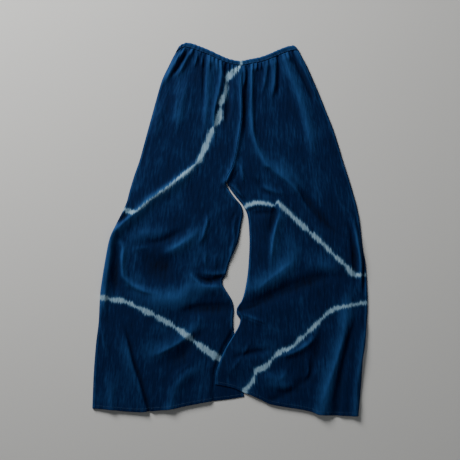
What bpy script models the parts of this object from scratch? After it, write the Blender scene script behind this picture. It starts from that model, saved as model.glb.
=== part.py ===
"""Wide pull-on cotton trousers, laid flat and face up.

Two front panels lie on two back panels. A casing with a flat elastic in it gathers them at the waist.
Tables and sizes are in millimetres: +X is the wearer's left, +Y runs up the body, +Z up off the surface.
"""
from collections import namedtuple

import bmesh
import bpy
import numpy as np

MM = 0.001

# Cloth and seams
WALL = 1.5                  # a panel's cloth
SEAM_GAP = 0.3              # between two pieces at a seam or where one lies on the other
CREST = 17.0                # no fold stands higher than this over the flat lie
LOFT = 4.0                  # how far the empty leg stands up between its edges
LOFT_RUN = 14.0             # how far from an edge that takes
BACK_INSET = 2.2            # the back panel ends this far inside the front panel's turned edge
HEM_TURN = 8.0              # depth of the turned hem
HEM_RAISE = 0.5             # what the turning adds to the cloth
HEM_INSET = 1.5             # the back panel's hem ends this far short of the front's
WAIST_GAP = 0.6             # from a panel's gathered top to the casing
CASING = 12.0               # height of the waist casing
CASING_THICK = 3.5          # one half of the casing, with its elastic
CASING_PUCKER = 0.6         # depth of the puckers that the elastic pulls in
CASING_PUCKERS = 23         # puckers across the front
CASING_STATIONS = 46        # sections along the casing between its ends
CASING_END = 7.0            # where those sections start, in from each end
CASING_ROUND = 0.9          # depth of the rounding at the casing's edges
CASING_ROUND_SHARE = 0.09   # and its width, as a share of the casing's height
CASING_WAVER = 1.1          # how unevenly the puckers are spaced
CASING_WAVES = 9.0          # and how quickly that changes along the casing
CASING_LEAN = 0.7           # how far a pucker pushes the casing's edge, as a share of its depth
CASING_PLAIN = 3.0          # no pucker this near the casing's ends
CASING_PLAIN_RUN = 6.0      # and whole ones from here on
FRONT_ENDS = (0.0, 1.0, 2.2, 2.5)       # more sections of the front half, where it turns down at an end
BACK_ENDS = (2.9, 4.5)                  # and of the back half, which ends inside it
FRONT_WALL = 2.3            # so far in from its ends the front half reaches down to the surface
FRONT_ROUND = (0.0, 1.0, 2.2, 6.0)      # the rounding of its ends: distance in from an end
FRONT_ROUND_Z = (3.4, 5.8, 6.8, 7.3)    # and the height of its top there
SHARP = 0.9                 # edges that turn by more than this many radians are drawn sharp
OVERLAP = 5.2               # the left leg's hem corner is lifted by this where it lies on the right leg
OVERLAP_EDGE = 4.0          # it starts to come down this far past the right leg's edge
OVERLAP_RUN = 40.0          # and reaches the surface over this
OVERLAP_SLACK = 1.0         # the front stands this much freer of the back where both come down
OVERLAP_TOP = -222.0        # the y where the left leg starts to climb onto the right one
OVERLAP_CLIMB = 26.0        # and the length over which it does
PRESSED = 0.9               # the share of the right leg's loft that the left leg presses out of it
PRESSED_TOP = -225.0        # the y where that starts
PRESSED_CLIMB = 20.0        # the length over which it does
PRESSED_EDGE = 14.0         # it starts this far outside the left leg's edge
PRESSED_RUN = 12.0          # and is full this far in from there
CORNER = 0.65               # the share of the left leg's loft that its hem's inner corner lacks
CORNER_X = 55.0             # the corner reaches out to this x
CORNER_Y = -355.0           # and up to this y
CORNER_RUN = 32.0           # and fades in over this
FREE = 400.0                # stands for no edge near, along the sewn centre seam
FREE_ABOVE = 20.0           # the inseam is felt from this far above the crotch's end
FREE_RUN = 60.0             # and less over this run up the centre seam
DRAWN_IN = 0.45             # the share of a fold's height at the casing's seam
DRAWN_RUN = 18.0            # how far under the seam the folds have their whole height
SOFTNESS = 2.0              # mm squared; rounds hollows that would go under the flat lie
LEAST_SLACK = 0.05          # more than SEAM_GAP between front and back
SLOPE_STEP = 0.5            # half the distance over which a face's slope is measured
STEEPEST = 1.9              # a steep wall measures no more than this many times WALL straight down
HEM_EDGE = 1.0              # width of the step that the hem's turned edge makes
HEM_SHARE = 0.1             # the last share of the back panel, which ends short of the hem
INDIGO = (0.0070, 0.0290, 0.0720, 1.0)
INDIGO_DEEP = (0.0052, 0.0220, 0.0580, 1.0)

# The outline: the waist and hems as (x, y), the other edges as (y, x). A leg's rows are the places down its
# inseam where its panels' meshes have a row, and its back columns are distances in from that edge.
WAIST = ((-131, 450), (-126, 457), (-118, 462), (-108, 465), (-95, 463), (-75, 456), (-50, 446), (-25, 434),
         (0, 424), (25, 419.5), (50, 424), (75, 429), (100, 438), (125, 449), (145, 456), (158, 458),
         (166, 454))
CENTRE = ((420, 28), (395, 27), (370, 25), (345, 27), (315, 29), (285, 29), (255, 26), (225, 21), (200, 17),
          (175, 12), (155, 6), (142, -1), (130, -8), (118, -10.5))
CROTCH = 118.0              # where the centre seams end and the two inseams part

Leg = namedtuple("Leg", "name side outseam inseam hem rows back_columns")
RIGHT = Leg(
    "right", -1,
    ((460, -124), (452, -128), (432, -141), (412, -151), (372, -170), (332, -182), (292, -193), (252, -204),
     (212, -215), (172, -226), (132, -240), (92, -252), (72, -257), (52, -265), (12, -285), (-28, -302),
     (-68, -310), (-128, -320), (-168, -325), (-228, -328), (-288, -335), (-368, -341), (-447, -344)),
    ((118, -10.5), (112, -8.5), (100, -3), (88, 5), (75, 15), (62, 26), (50, 31.5), (38, 33), (25, 31),
     (10, 28), (-10, 25), (-30, 21), (-50, 13), (-68, 5), (-88, -3), (-105, -8), (-118, -13), (-126, -18.5),
     (-134, -18.5), (-146, -13), (-162, -3), (-176, 5), (-190, 9), (-205, 10), (-225, 8), (-245, 9),
     (-275, 13), (-320, 20), (-370, 28), (-418, 36)),
    ((-344, -447), (-300, -450), (-250, -455), (-225, -456), (-200, -454), (-150, -449), (-100, -439),
     (-50, -430), (0, -424), (36, -418)),
    (106, 92, 76, 58, 38, 18, -4, -28, -52, -74, -94, -110, -121, -130, -141, -156, -174, -194, -216, -240,
     -266, -294, -322, -350, -380),
    (0, 9, 20))
LEFT = Leg(
    "left", 1,
    ((460, 163), (450, 170), (432, 179), (412, 190), (372, 208), (332, 225), (292, 241), (252, 257),
     (212, 270), (172, 282), (132, 295), (92, 307), (52, 318), (12, 325), (-48, 332), (-88, 339),
     (-128, 342), (-188, 344), (-248, 341), (-288, 338), (-328, 332), (-388, 328), (-466, 321)),
    ((118, -10.5), (112, -6), (100, 0.5), (88, 9), (75, 20), (62, 31), (50, 38), (38, 43), (25, 45.5),
     (0, 47.5), (-25, 48.5), (-50, 48), (-75, 46.5), (-100, 44.5), (-125, 41), (-150, 36), (-172, 29),
     (-185, 21), (-195, 16.5), (-205, 16), (-213, 21), (-219, 25.5), (-232, 22.5), (-250, 14), (-270, 2.5),
     (-292, -10), (-315, -20.5), (-335, -28), (-350, -33), (-365, -36), (-387, -37)),
    ((-37, -387), (-10, -392), (10, -397), (33, -407), (50, -413), (75, -424), (100, -436), (125, -441),
     (150, -445), (175, -449), (200, -454), (225, -462), (250, -464), (275, -465), (321, -466)),
    (104, 88, 70, 50, 28, 2, -26, -54, -82, -110, -136, -160, -180, -192, -201, -211, -221, -236, -254, -276,
     -300, -324, -350),
    (0, 14, 28, 42, 56, 70, 84, 98, 113))

# Gathers, folds and hollows. A path runs along the crest or the bottom, the height is over or under the
# cloth beside it, low and high are the half widths on the side of smaller and larger x (or y, on a path
# that runs across), and start and end say how much of the height is there at the path's two ends.
Fold = namedtuple("Fold", "leg path height low high start end")
BOTH = "both"
R = "right"
L = "left"
FOLDS = (
    # gathers that the elastic pulls in, from the wearer's right to the centre
    Fold(R, ((-107, 455), (-137, 415), (-150, 390), (-172, 350)), 7, 6, 7, 1, 0),
    Fold(R, ((-100, 452), (-124, 412), (-150, 372)), -5, 4, 4, 1, 0),
    Fold(R, ((-92, 452), (-116, 408), (-132, 376)), 7, 5, 6, 1, 0),
    Fold(R, ((-76, 448), (-84, 420), (-92, 396)), 4.5, 4, 4, 1, 0),
    Fold(R, ((-67, 445), (-70, 415), (-72, 400)), 3.5, 3.5, 3.5, 1, 0),
    Fold(R, ((-62, 445), (-65, 380), (-67, 270)), -5, 4, 5, 1, 0),
    Fold(R, ((-54, 445), (-58, 380), (-61, 300), (-60, 225)), 7, 6, 14, 1, 0),
    Fold(R, ((-45, 440), (-46, 420), (-44, 405)), 3.5, 3.5, 3.5, 1, 0),
    Fold(R, ((-34, 436), (-32, 410), (-28, 382)), 4.5, 5, 5, 1, 0),
    Fold(R, ((-20, 430), (-20, 395), (-27, 345), (-39, 290), (-40, 250), (-30, 196)), 7, 6, 6, 1, 0),
    Fold(R, ((-12, 428), (-10, 400), (-5, 350), (-6, 300), (-14, 235)), -6, 5, 7, 1, 0),
    Fold(R, ((-4, 424), (-4, 405), (-2, 388)), 4, 3.5, 3.5, 1, 0),
    Fold(R, ((8, 420), (7, 402), (8, 386)), 4, 3.5, 3.5, 1, 0),
    Fold(R, ((18, 419), (17, 400), (15, 380)), 3.5, 3.5, 3.5, 1, 0),
    # the centre front seam's ridge, and the hollow beside it
    Fold(BOTH, ((29, 418), (26, 370), (29, 300), (26, 255), (16, 195), (6, 155), (-9, 122)),
         6.5, 6, 6, 1, 1),
    Fold(BOTH, ((45, 418), (41, 360), (38, 280), (36, 215)), -6, 5, 5, 0.5, 0),
    # gathers from the centre to the wearer's left, one of them a long fold that sweeps across the thigh
    Fold(L, ((38, 418), (39, 395), (34, 345)), 5, 4, 4, 1, 0),
    Fold(L, ((56, 421), (54, 370), (52, 310), (55, 250), (65, 208), (92, 158)), 7.5, 6, 8, 1, 0.9),
    Fold(L, ((85, 163), (115, 142), (145, 119), (172, 92), (205, 55)), 9, 7, 26, 0.2, 0),
    Fold(L, ((67, 423), (66, 408), (66, 392)), 4, 3.5, 3.5, 1, 0),
    Fold(L, ((78, 427), (77, 410), (76, 394)), 4, 3.5, 3.5, 1, 0),
    Fold(L, ((89, 431), (91, 410), (88, 375), (80, 330)), 5.5, 6, 6, 1, 0),
    Fold(L, ((103, 437), (112, 400), (111, 365), (102, 316)), 7, 8, 5, 1, 0),
    Fold(L, ((118, 443), (122, 400), (121, 360), (116, 310)), -3, 4.5, 4.5, 1, 0),
    Fold(L, ((130, 448), (138, 418), (152, 380), (176, 320), (190, 270), (202, 200), (210, 130)),
         7, 8, 17, 1, 0),
    Fold(L, ((142, 452), (145, 435), (149, 415)), 3.5, 3.5, 3.5, 1, 0),
    Fold(L, ((150, 452), (168, 410), (196, 350), (212, 300)), -5, 5, 6, 1, 0),
    Fold(L, ((159, 452), (182, 405), (206, 350), (224, 300)), 5.5, 5, 6, 1, 0),
    # the right thigh
    Fold(R, ((-104, 385), (-122, 310), (-134, 230)), 6, 14, 14, 0, 0),
    Fold(R, ((-165, 330), (-182, 270), (-192, 205)), 4, 12, 12, 0, 0),
    # the right knee: a long slanting crest that turns down the side, and a shallow bowl inside it
    Fold(R, ((-46, 212), (-75, 172), (-110, 136), (-155, 104), (-200, 73), (-236, 40), (-262, 12),
             (-280, -14)), 11, 15, 9, 0.1, 0.9),
    Fold(R, ((-256, 47), (-271, 26), (-286, 0)), -5, 4, 4, 0, 0),
    Fold(R, ((-274, 6), (-288, -28), (-296, -62), (-302, -110), (-306, -160), (-310, -235)),
         12, 12, 6, 0.3, 0),
    Fold(R, ((-279, -38), (-284, -80), (-286, -125), (-282, -170)), -8, 6, 7, 0, 0),
    Fold(R, ((-278, -18), (-266, -50), (-268, -85), (-265, -115), (-248, -137), (-215, -154)),
         9, 7, 8, 0, 0.6),
    Fold(R, ((-232, -152), (-190, -172), (-140, -174), (-95, -152), (-60, -140)), 9, 28, 24, 0.3, 0.2),
    Fold(R, ((-235, -70), (-190, -92), (-130, -92)), -6, 30, 24, 0, 0),
    Fold(R, ((-262, -24), (-215, -12), (-165, -6), (-125, 4)), 4.5, 22, 14, 0, 0),
    Fold(R, ((-230, -36), (-180, -32), (-125, -8), (-88, 12)), -3, 9, 9, 0, 0),
    Fold(R, ((-180, -64), (-130, -44), (-98, -22), (-70, 0)), 8, 14, 12, 0, 0.3),
    Fold(R, ((-57, 42), (-57, 15), (-66, -18), (-80, -44)), 7, 6, 8, 0, 0),
    # the pinch in the right inseam
    Fold(R, ((-12, -121), (-30, -125), (-48, -131), (-64, -128), (-92, -108)), -9, 4, 4, 1, 0),
    Fold(R, ((-10, -111), (-34, -113), (-58, -111), (-80, -104)), 3.5, 5, 8, 0.8, 0),
    Fold(R, ((-104, -106), (-88, -126), (-64, -143), (-34, -144), (-6, -152)), 8, 18, 7, 0.2, 0.4),
    Fold(R, ((-135, -208), (-70, -197), (6, -194)), -6, 15, 10, 0, 0.6),
    # the right leg's foot
    Fold(R, ((-215, -322), (-150, -294), (-100, -262), (-56, -210)), 6, 14, 16, 0, 0),
    Fold(R, ((-165, -350), (-120, -318), (-85, -272), (-60, -238)), -4, 15, 12, 0, 0),
    Fold(R, ((-266, -225), (-248, -290), (-234, -345), (-219, -385), (-202, -452)), -5, 4.5, 4.5, 0, 1),
    Fold(R, ((-286, -230), (-268, -300), (-254, -370), (-236, -452)), 4.5, 14, 8, 0, 1),
    Fold(R, ((-322, -225), (-316, -270), (-304, -330)), 6, 4, 6, 0, 0),
    Fold(R, ((-74, -332), (-112, -362), (-138, -400), (-150, -447)), 5.5, 12, 14, 0, 1),
    Fold(R, ((-306, -350), (-296, -400), (-296, -449)), 4, 10, 10, 0, 1),
    # the left thigh and knee
    Fold(L, ((118, 158), (160, 118), (200, 62), (240, 12), (276, -36)), -7, 7, 9, 0, 0),
    Fold(L, ((60, 112), (98, 98), (150, 82)), 5, 9, 9, 0, 0),
    Fold(L, ((64, 132), (84, 96), (112, 74)), -5, 7, 7, 0, 0),
    Fold(L, ((38, 50), (70, 60), (100, 56), (124, 52)), 4.5, 5, 9, 0.8, 0.3),
    Fold(L, ((50, 38), (80, 40), (112, 38)), -3, 8, 6, 0, 0.5),
    Fold(L, ((122, 72), (124, 40), (114, 5), (106, -40), (98, -108)), 8, 5, 14, 0.3, 0),
    Fold(L, ((114, 54), (108, 22), (98, -22)), -5, 8, 6, 0, 0),
    # the left calf, with the notch in its inseam and the pleats down its side
    Fold(L, ((36, -156), (72, -142), (108, -124), (145, -98), (186, -54)), 9, 18, 28, 0.4, 0),
    Fold(L, ((176, -82), (230, -92), (292, -98)), 4, 18, 18, 0, 0),
    Fold(L, ((20, -198), (60, -188), (100, -170), (150, -148), (220, -124), (300, -114)),
         -5.5, 14, 14, 0.8, 0),
    Fold(L, ((18, -208), (46, -220), (98, -236)), 5, 8, 6, 0.6, 0),
    Fold(L, ((290, 62), (306, 20), (319, -40), (327, -95), (327, -172)), 8, 5, 5, 0, 0),
    Fold(L, ((296, 26), (306, -25), (312, -85), (314, -150)), -8, 5, 5, 0, 0),
    # the left leg's foot
    Fold(L, ((296, -120), (291, -190), (286, -250), (268, -320), (246, -390), (226, -463)),
         11, 18, 16, 0, 1),
    Fold(L, ((322, -192), (308, -235), (288, -305), (272, -390), (264, -465)), -8, 9, 9, 0, 1),
    Fold(L, ((336, -215), (328, -310), (316, -400), (312, -466)), 7, 9, 7, 0, 1),
    Fold(L, ((230, -245), (214, -315), (196, -365), (165, -396), (120, -422)), -7, 12, 12, 0, 0.6),
    Fold(L, ((110, -322), (160, -306), (200, -282), (232, -236)), 7, 8, 8, 0, 0),
    Fold(L, ((100, -350), (120, -380), (152, -410)), 5, 30, 30, 0, 0),
    Fold(L, ((112, -300), (50, -310), (-6, -326)), -4, 8, 8, 0, 0),
)
FOLD_FADE = 0.38            # the share of a path over which its ends fade
FOLD_POWER = 1.7            # the shape of a fold's sides
FOLD_END = 8.0              # how far a fold runs on past its path

# A panel's mesh: rows by their distance under the waist seam, columns by their distance in from each edge
ROWS_TO_CROTCH = (0, 6, 13, 22, 34, 50, 70, 94, 120, 148, 176, 204, 232, 256, 275)
FINE_ROWS = 7               # the gathered rows of the front have twice the columns
BACK_FINE_ROWS = 2          # and these rows of the back
TURN_COLUMNS = 4            # columns that turn an edge down
TURN_OUT = (0.0, 0.0, 0.6, 2.4)
TURN_IN = (1.6, 1.6, 1.9, 3.0)
TURN_FLAT = (0.0, 0.8, 1.8, 3.0)
TURN_RISE_OUT = (0.0, 0.36, 0.80, 1.0)
TURN_RISE_IN = (0.0, 0.50, 1.0, 1.0)
EDGE_COLUMNS = (6.5, 12.0)  # two more columns beside a turned edge
FRONT_COLUMNS = 16
BACK_OUTER_COLUMNS = (0.0, 9.0, 20.0)
BACK_COLUMNS = 4
CUFF_Z = 0.2                # the lowest point of a turned edge
TURN_RUN = 10.0             # the inseam's turned edge starts over this length under the crotch


def step(x):
    """A smooth rise from 0 to 1."""
    x = np.clip(x, 0, 1)
    return x * x * (3 - 2 * x)


def curve(rows, at):
    """A smooth line through (place, value) rows, straight past its ends: its value and its slope."""
    place, value = np.array(sorted(rows), float).T
    run = np.diff(place)
    grade = np.diff(value) / run
    slope = np.concatenate(([grade[0]], np.zeros(len(grade) - 1), [grade[-1]]))
    same = grade[:-1] * grade[1:] > 0
    slope[1:-1][same] = 2 * grade[:-1][same] * grade[1:][same] / (grade[:-1] + grade[1:])[same]
    inside = np.clip(at, place[0], place[-1])
    i = np.clip(np.searchsorted(place, inside, "right") - 1, 0, len(grade) - 1)
    t = (inside - place[i]) / run[i]
    rise = value[i + 1] - value[i]
    start = slope[i] * run[i]
    end = slope[i + 1] * run[i]
    height = value[i] + start * t + (3 * rise - 2 * start - end) * t**2 + (start + end - 2 * rise) * t**3
    lean = (start + 2 * (3 * rise - 2 * start - end) * t + 3 * (start + end - 2 * rise) * t**2) / run[i]
    return height + (at - inside) * lean, lean


def line(rows, at):
    return curve(rows, at)[0]


def fold_height(fold, x, y):
    """What one fold adds at the places x, y."""
    path = np.array(fold.path, float)
    span = np.abs(path[-1] - path[0])
    run = 1 if span[1] >= span[0] else 0
    along, across = (y, x) if run else (x, y)
    middle, lean = curve([(p[run], p[1 - run]) for p in fold.path], along)
    off = (across - middle) / np.sqrt(1 + lean**2)
    first, last = path[0, run], path[-1, run]
    t = (along - first) / (last - first)
    past = np.maximum(np.abs(t - 0.5) - 0.5, 0) * abs(last - first)
    head = fold.start + (1 - fold.start) * step(t / FOLD_FADE)
    tail = fold.end + (1 - fold.end) * step((1 - t) / FOLD_FADE)
    width = np.where(off < 0, fold.low, fold.high)
    return fold.height * head * tail * np.exp(-(np.abs(off) / width) ** FOLD_POWER - (past / FOLD_END) ** 2)


def inner_edge(leg, y):
    """The centre seam down to the crotch, and the inseam below it."""
    return np.where(y > CROTCH, line(CENTRE, y), line(leg.inseam, y))


def turned(y):
    """0 where the inner edge is sewn to the other leg, 1 where it is turned down to the surface."""
    return step((CROTCH - y) / TURN_RUN)


def lift(leg, x, y):
    """How far a leg is held up by the leg under it."""
    if leg.side < 0:
        return np.zeros(x.shape)
    onto = (line(RIGHT.inseam, y) + OVERLAP_EDGE + OVERLAP_RUN - x) / OVERLAP_RUN
    return OVERLAP * step(onto) * step((OVERLAP_TOP - y) / OVERLAP_CLIMB)


def slack(leg, x, y):
    """How much freer the front stands of the back where the left leg comes down off the right one."""
    share = lift(leg, x, y) / OVERLAP
    return LEAST_SLACK + OVERLAP_SLACK * 4 * share * (1 - share)


def rise(leg, x, y):
    """How far the front cloth stands over its flat lie on the back panel."""
    outer = np.abs(x - line(leg.outseam, y))
    inner = np.abs(inner_edge(leg, y) - x) + FREE * step((y - CROTCH + FREE_ABOVE) / FREE_RUN)
    height = LOFT * (1 - np.exp(-outer / LOFT_RUN)) * (1 - np.exp(-inner / LOFT_RUN))
    for fold in FOLDS:
        if fold.leg in (leg.name, BOTH):
            height = height + fold_height(fold, x, y)
    height = CREST * np.tanh((height + np.sqrt(height**2 + SOFTNESS)) / (2 * CREST))
    height = height * (DRAWN_IN + (1 - DRAWN_IN) * step((waist_seam(x) - y) / DRAWN_RUN))
    if leg.side < 0:
        under = step((x - line(LEFT.inseam, y) + PRESSED_EDGE) / PRESSED_RUN)
        return height * (1 - PRESSED * under * step((PRESSED_TOP - y) / PRESSED_CLIMB))
    corner = step((CORNER_X - x) / CORNER_RUN) * step((CORNER_Y - y) / CORNER_RUN)
    return height * (1 - CORNER * corner)


def outer_z(leg, x, y):
    """The front panel's outer face."""
    near_hem = step((HEM_TURN + HEM_EDGE - (y - line(leg.hem, x))) / HEM_EDGE)
    base = lift(leg, x, y) + 2 * WALL + SEAM_GAP + slack(leg, x, y)
    return base + rise(leg, x, y) + HEM_RAISE * near_hem


def inner_z(leg, x, y):
    """The front panel's inner face: the outer one less the cloth, and clear of the back panel."""
    z = outer_z(leg, x, y)
    dx = (outer_z(leg, x + SLOPE_STEP, y) - outer_z(leg, x - SLOPE_STEP, y)) / (2 * SLOPE_STEP)
    dy = (outer_z(leg, x, y + SLOPE_STEP) - outer_z(leg, x, y - SLOPE_STEP)) / (2 * SLOPE_STEP)
    drop = WALL * np.minimum(np.sqrt(1 + dx**2 + dy**2), STEEPEST)
    return np.maximum(z - drop, lift(leg, x, y) + WALL + SEAM_GAP + slack(leg, x, y))


def waist_ends():
    """The x of the casing's two lower corners, where it meets the outseams."""
    left, right = WAIST[0], WAIST[-1]
    return line(RIGHT.outseam, np.array(left[1] - CASING)), line(LEFT.outseam, np.array(right[1] - CASING))


def waist_seam(x):
    """The y of the seam under the casing."""
    low, high = waist_ends()
    share = (x - low) / (high - low)
    return line(WAIST, WAIST[0][0] + share * (WAIST[-1][0] - WAIST[0][0])) - CASING


def panel_span(leg):
    """The y of the inner edge's top, under the waist seam, and of its foot at the hem."""
    return float(waist_seam(np.array(float(CENTRE[0][1])))) - WAIST_GAP, float(leg.inseam[-1][0])


def panel_rows(leg):
    """The rows' shares of the inner edge, from the waist seam to the hem."""
    top, foot = panel_span(leg)
    rows = [top - d for d in ROWS_TO_CROTCH] + [CROTCH] + list(leg.rows)
    rows += [foot + HEM_TURN + HEM_EDGE, foot + HEM_TURN, foot]
    return (top - np.array(rows)) / (top - foot)


def panel_place(leg, share, column, inset_outer=0.0, inset_inner=0.0, inset_hem=0.0):
    """The x, y of points: share down the panel, and column as (distance from the outseam, from the inner
    edge, share of the width between them)."""
    top, foot = panel_span(leg)
    low, high = waist_ends()
    outer_top = waist_seam(low if leg.side < 0 else high) - WAIST_GAP
    outer_foot = float(leg.hem[0 if leg.side < 0 else -1][1])
    outer_y = outer_top + share * (outer_foot - outer_top)
    inner_y = top + share * (foot - top)
    outer_x = line(leg.outseam, outer_y) - leg.side * inset_outer
    inner_x = inner_edge(leg, inner_y) + leg.side * (SEAM_GAP / 2 + inset_inner * turned(inner_y))
    from_outer, from_inner, across = column
    span = np.abs(inner_x - outer_x)
    across = (from_outer + across * (span - from_outer - from_inner)) / span
    x = outer_x + across * (inner_x - outer_x)
    y = outer_y + across * (inner_y - outer_y)
    top_outer = line(leg.outseam, outer_top) - leg.side * inset_outer
    top_inner = inner_edge(leg, top) + leg.side * SEAM_GAP / 2
    top_x = top_outer + across * (top_inner - top_outer)
    waist_bow = waist_seam(top_x) - WAIST_GAP - (outer_top + across * (top - outer_top))
    hem_bow = line(leg.hem, x) - (outer_foot + across * (foot - outer_foot))
    y = y + waist_bow * (1 - share) ** 3 + hem_bow * share**3
    return x, y + inset_hem * step((share - 1 + HEM_SHARE) / HEM_SHARE)


def solid(name, bm, place_out, place_in, colour):
    """A cloth panel: a grid of (column, row), extruded into a wall, with both faces then put in place."""
    outer = list(bm.verts)
    made = bmesh.ops.extrude_face_region(bm, geom=list(bm.faces), use_keep_orig=True)
    inner = [v for v in made["geom"] if isinstance(v, bmesh.types.BMVert)]
    for verts, place in ((outer, place_out), (inner, place_in)):
        column = np.array([v.co.x for v in verts])
        row = np.array([v.co.y for v in verts])
        for vert, point in zip(verts, np.stack(place(column, row), axis=1) * MM):
            vert.co = point
    finish(name, bm, colour)


def finish(name, bm, colour):
    """Triangulates a closed mesh, turns it outwards and gives it its object and material."""
    bmesh.ops.triangulate(bm, faces=list(bm.faces), quad_method="SHORT_EDGE", ngon_method="BEAUTY")
    bmesh.ops.recalc_face_normals(bm, faces=list(bm.faces))
    mesh = bpy.data.meshes.new(name)
    bm.to_mesh(mesh)
    bm.free()
    mesh.shade_smooth()
    mesh.set_sharp_from_angle(angle=SHARP)
    material = bpy.data.materials.new(name + "_cotton")
    material.use_nodes = True
    shader = material.node_tree.nodes["Principled BSDF"]
    shader.inputs["Base Color"].default_value = colour
    shader.inputs["Roughness"].default_value = 0.9
    shader.inputs["Metallic"].default_value = 0.0
    material.diffuse_color = colour
    mesh.materials.append(material)
    bpy.context.scene.collection.objects.link(bpy.data.objects.new(name, mesh))


def index_grid(columns, rows):
    """A flat grid whose points stand at whole columns and rows."""
    bm = bmesh.new()
    bmesh.ops.create_grid(bm, x_segments=columns, y_segments=rows, size=0.5)
    for vert in bm.verts:
        vert.co = ((vert.co.x + 0.5) * columns, (vert.co.y + 0.5) * rows, 0)
    return bm


def add_columns(bm, rows, first, last):
    """Halves the columns from first to last in the top rows of an index grid."""
    wide = [e for e in bm.edges
            if abs(e.verts[0].co.y - e.verts[1].co.y) < 0.5 and e.verts[0].co.y < rows - 0.5
            and first - 0.5 < min(v.co.x for v in e.verts) < last - 0.5]
    bmesh.ops.subdivide_edges(bm, edges=wide, cuts=1, use_grid_fill=True)


def front_panel(leg):
    """A front panel: a lofted, folded wall whose outseam and inseam are turned down to the surface."""
    shares = panel_rows(leg)
    top, foot = panel_span(leg)
    edge = TURN_COLUMNS + len(EDGE_COLUMNS)
    columns = 2 * edge + FRONT_COLUMNS - 1
    bm = index_grid(columns, len(shares) - 1)
    add_columns(bm, FINE_ROWS, edge - 1, columns - edge + 1)

    def place(column, row, turn, rises, height):
        share = np.interp(row, np.arange(len(shares)), shares)
        inner_y = top + share * (foot - top)
        mirrored = columns - column
        outer_in = np.interp(column, np.arange(edge), turn + EDGE_COLUMNS)
        bend = turned(inner_y)
        ramp = np.interp(mirrored, np.arange(edge), turn + EDGE_COLUMNS)
        flat = np.interp(mirrored, np.arange(edge), TURN_FLAT + EDGE_COLUMNS)
        inner_in = bend * ramp + (1 - bend) * flat
        across = np.clip((column - edge + 1) / (columns - 2 * edge + 2), 0, 1)
        x, y = panel_place(leg, share, (outer_in, inner_in, across))
        up = np.interp(column, np.arange(TURN_COLUMNS), rises)
        up = up * (1 - bend * (1 - np.interp(mirrored, np.arange(TURN_COLUMNS), rises)))
        base = lift(leg, x, y) + CUFF_Z
        return x, y, base + up * (height(leg, x, y) - base)

    solid("front_" + leg.name, bm,
          lambda column, row: place(column, row, TURN_OUT, TURN_RISE_OUT, outer_z),
          lambda column, row: place(column, row, TURN_IN, TURN_RISE_IN, inner_z),
          INDIGO)


def back_panel(leg):
    """A back panel: flat on the surface, or on the other leg at the hem's corner."""
    shares = panel_rows(leg)
    outer, inner = len(BACK_OUTER_COLUMNS), len(leg.back_columns)
    columns = outer + inner + BACK_COLUMNS - 1
    bm = index_grid(columns, len(shares) - 1)
    add_columns(bm, BACK_FINE_ROWS, 0, columns)

    def place(column, row, thick):
        share = np.interp(row, np.arange(len(shares)), shares)
        outer_in = np.interp(column, np.arange(outer), BACK_OUTER_COLUMNS)
        inner_in = np.interp(columns - column, np.arange(inner), leg.back_columns)
        across = np.clip((column - outer + 1) / (columns - outer - inner + 2), 0, 1)
        x, y = panel_place(leg, share, (outer_in, inner_in, across), BACK_INSET, BACK_INSET, HEM_INSET)
        return x, y, lift(leg, x, y) + thick

    solid("back_" + leg.name, bm,
          lambda column, row: place(column, row, WALL),
          lambda column, row: place(column, row, 0.0), INDIGO_DEEP)


def waist_casing(name, low_z, high_z, ends_in, pucker, colour):
    """A casing half: a rounded flat section carried along the waist line."""
    width = WAIST[-1][0] - WAIST[0][0]
    low, high = waist_ends()
    ends_in = np.array(ends_in)
    between = np.linspace(CASING_END, width - CASING_END, CASING_STATIONS)
    at = np.concatenate((ends_in, between, width - ends_in[::-1]))
    bm = bmesh.new()
    rings = []
    for d in at:
        share = d / width
        end = min(d, width - d)
        bottom, top = low_z(end), high_z(end)
        phase = 2 * np.pi * CASING_PUCKERS * share + CASING_WAVER * np.sin(CASING_WAVES * share)
        swell = pucker * np.sin(phase) * step((end - CASING_PLAIN) / CASING_PLAIN_RUN)
        side = top - CASING_ROUND
        section = ((0.0, bottom), (0.0, side), (CASING_ROUND_SHARE, top), (0.5, top + swell),
                   (1 - CASING_ROUND_SHARE, top), (1.0, side), (1.0, bottom), (0.5, bottom))
        upper_x = WAIST[0][0] + share * width
        lower_x = low + share * (high - low)
        edge_y = float(line(WAIST, np.array(upper_x)))
        ring = []
        for t, z in section:
            x = upper_x + t * (lower_x - upper_x)
            y = edge_y - t * CASING + (CASING_LEAN * swell if t == 0 else 0)
            ring.append(bm.verts.new((x * MM, y * MM, z * MM)))
        rings.append(ring)
    for near, far in zip(rings, rings[1:]):
        for i in range(len(near)):
            j = (i + 1) % len(near)
            bm.faces.new((near[i], near[j], far[j], far[i]))
    bm.faces.new(rings[0])
    bm.faces.new(rings[-1])
    finish(name, bm, colour)


def centre_on_origin():
    """Puts the middle of the whole part's box over the origin."""
    points = np.array([v.co for o in bpy.data.objects for v in o.data.vertices])
    middle = (points.min(axis=0) + points.max(axis=0)) / 2
    for o in bpy.data.objects:
        for v in o.data.vertices:
            v.co.x -= middle[0]
            v.co.y -= middle[1]


for old in list(bpy.data.objects):
    bpy.data.objects.remove(old, do_unlink=True)

for each_leg in (RIGHT, LEFT):
    front_panel(each_leg)
    back_panel(each_leg)

waist_casing(
    "waist_casing_front",
    lambda end: CUFF_Z if end < FRONT_WALL else CASING_THICK + SEAM_GAP,
    lambda end: np.interp(end, FRONT_ROUND, FRONT_ROUND_Z),
    FRONT_ENDS, CASING_PUCKER, INDIGO)
waist_casing(
    "waist_casing_back",
    lambda end: 0.0,
    lambda end: CASING_THICK,
    BACK_ENDS, 0.0, INDIGO_DEEP)
centre_on_origin()
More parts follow.
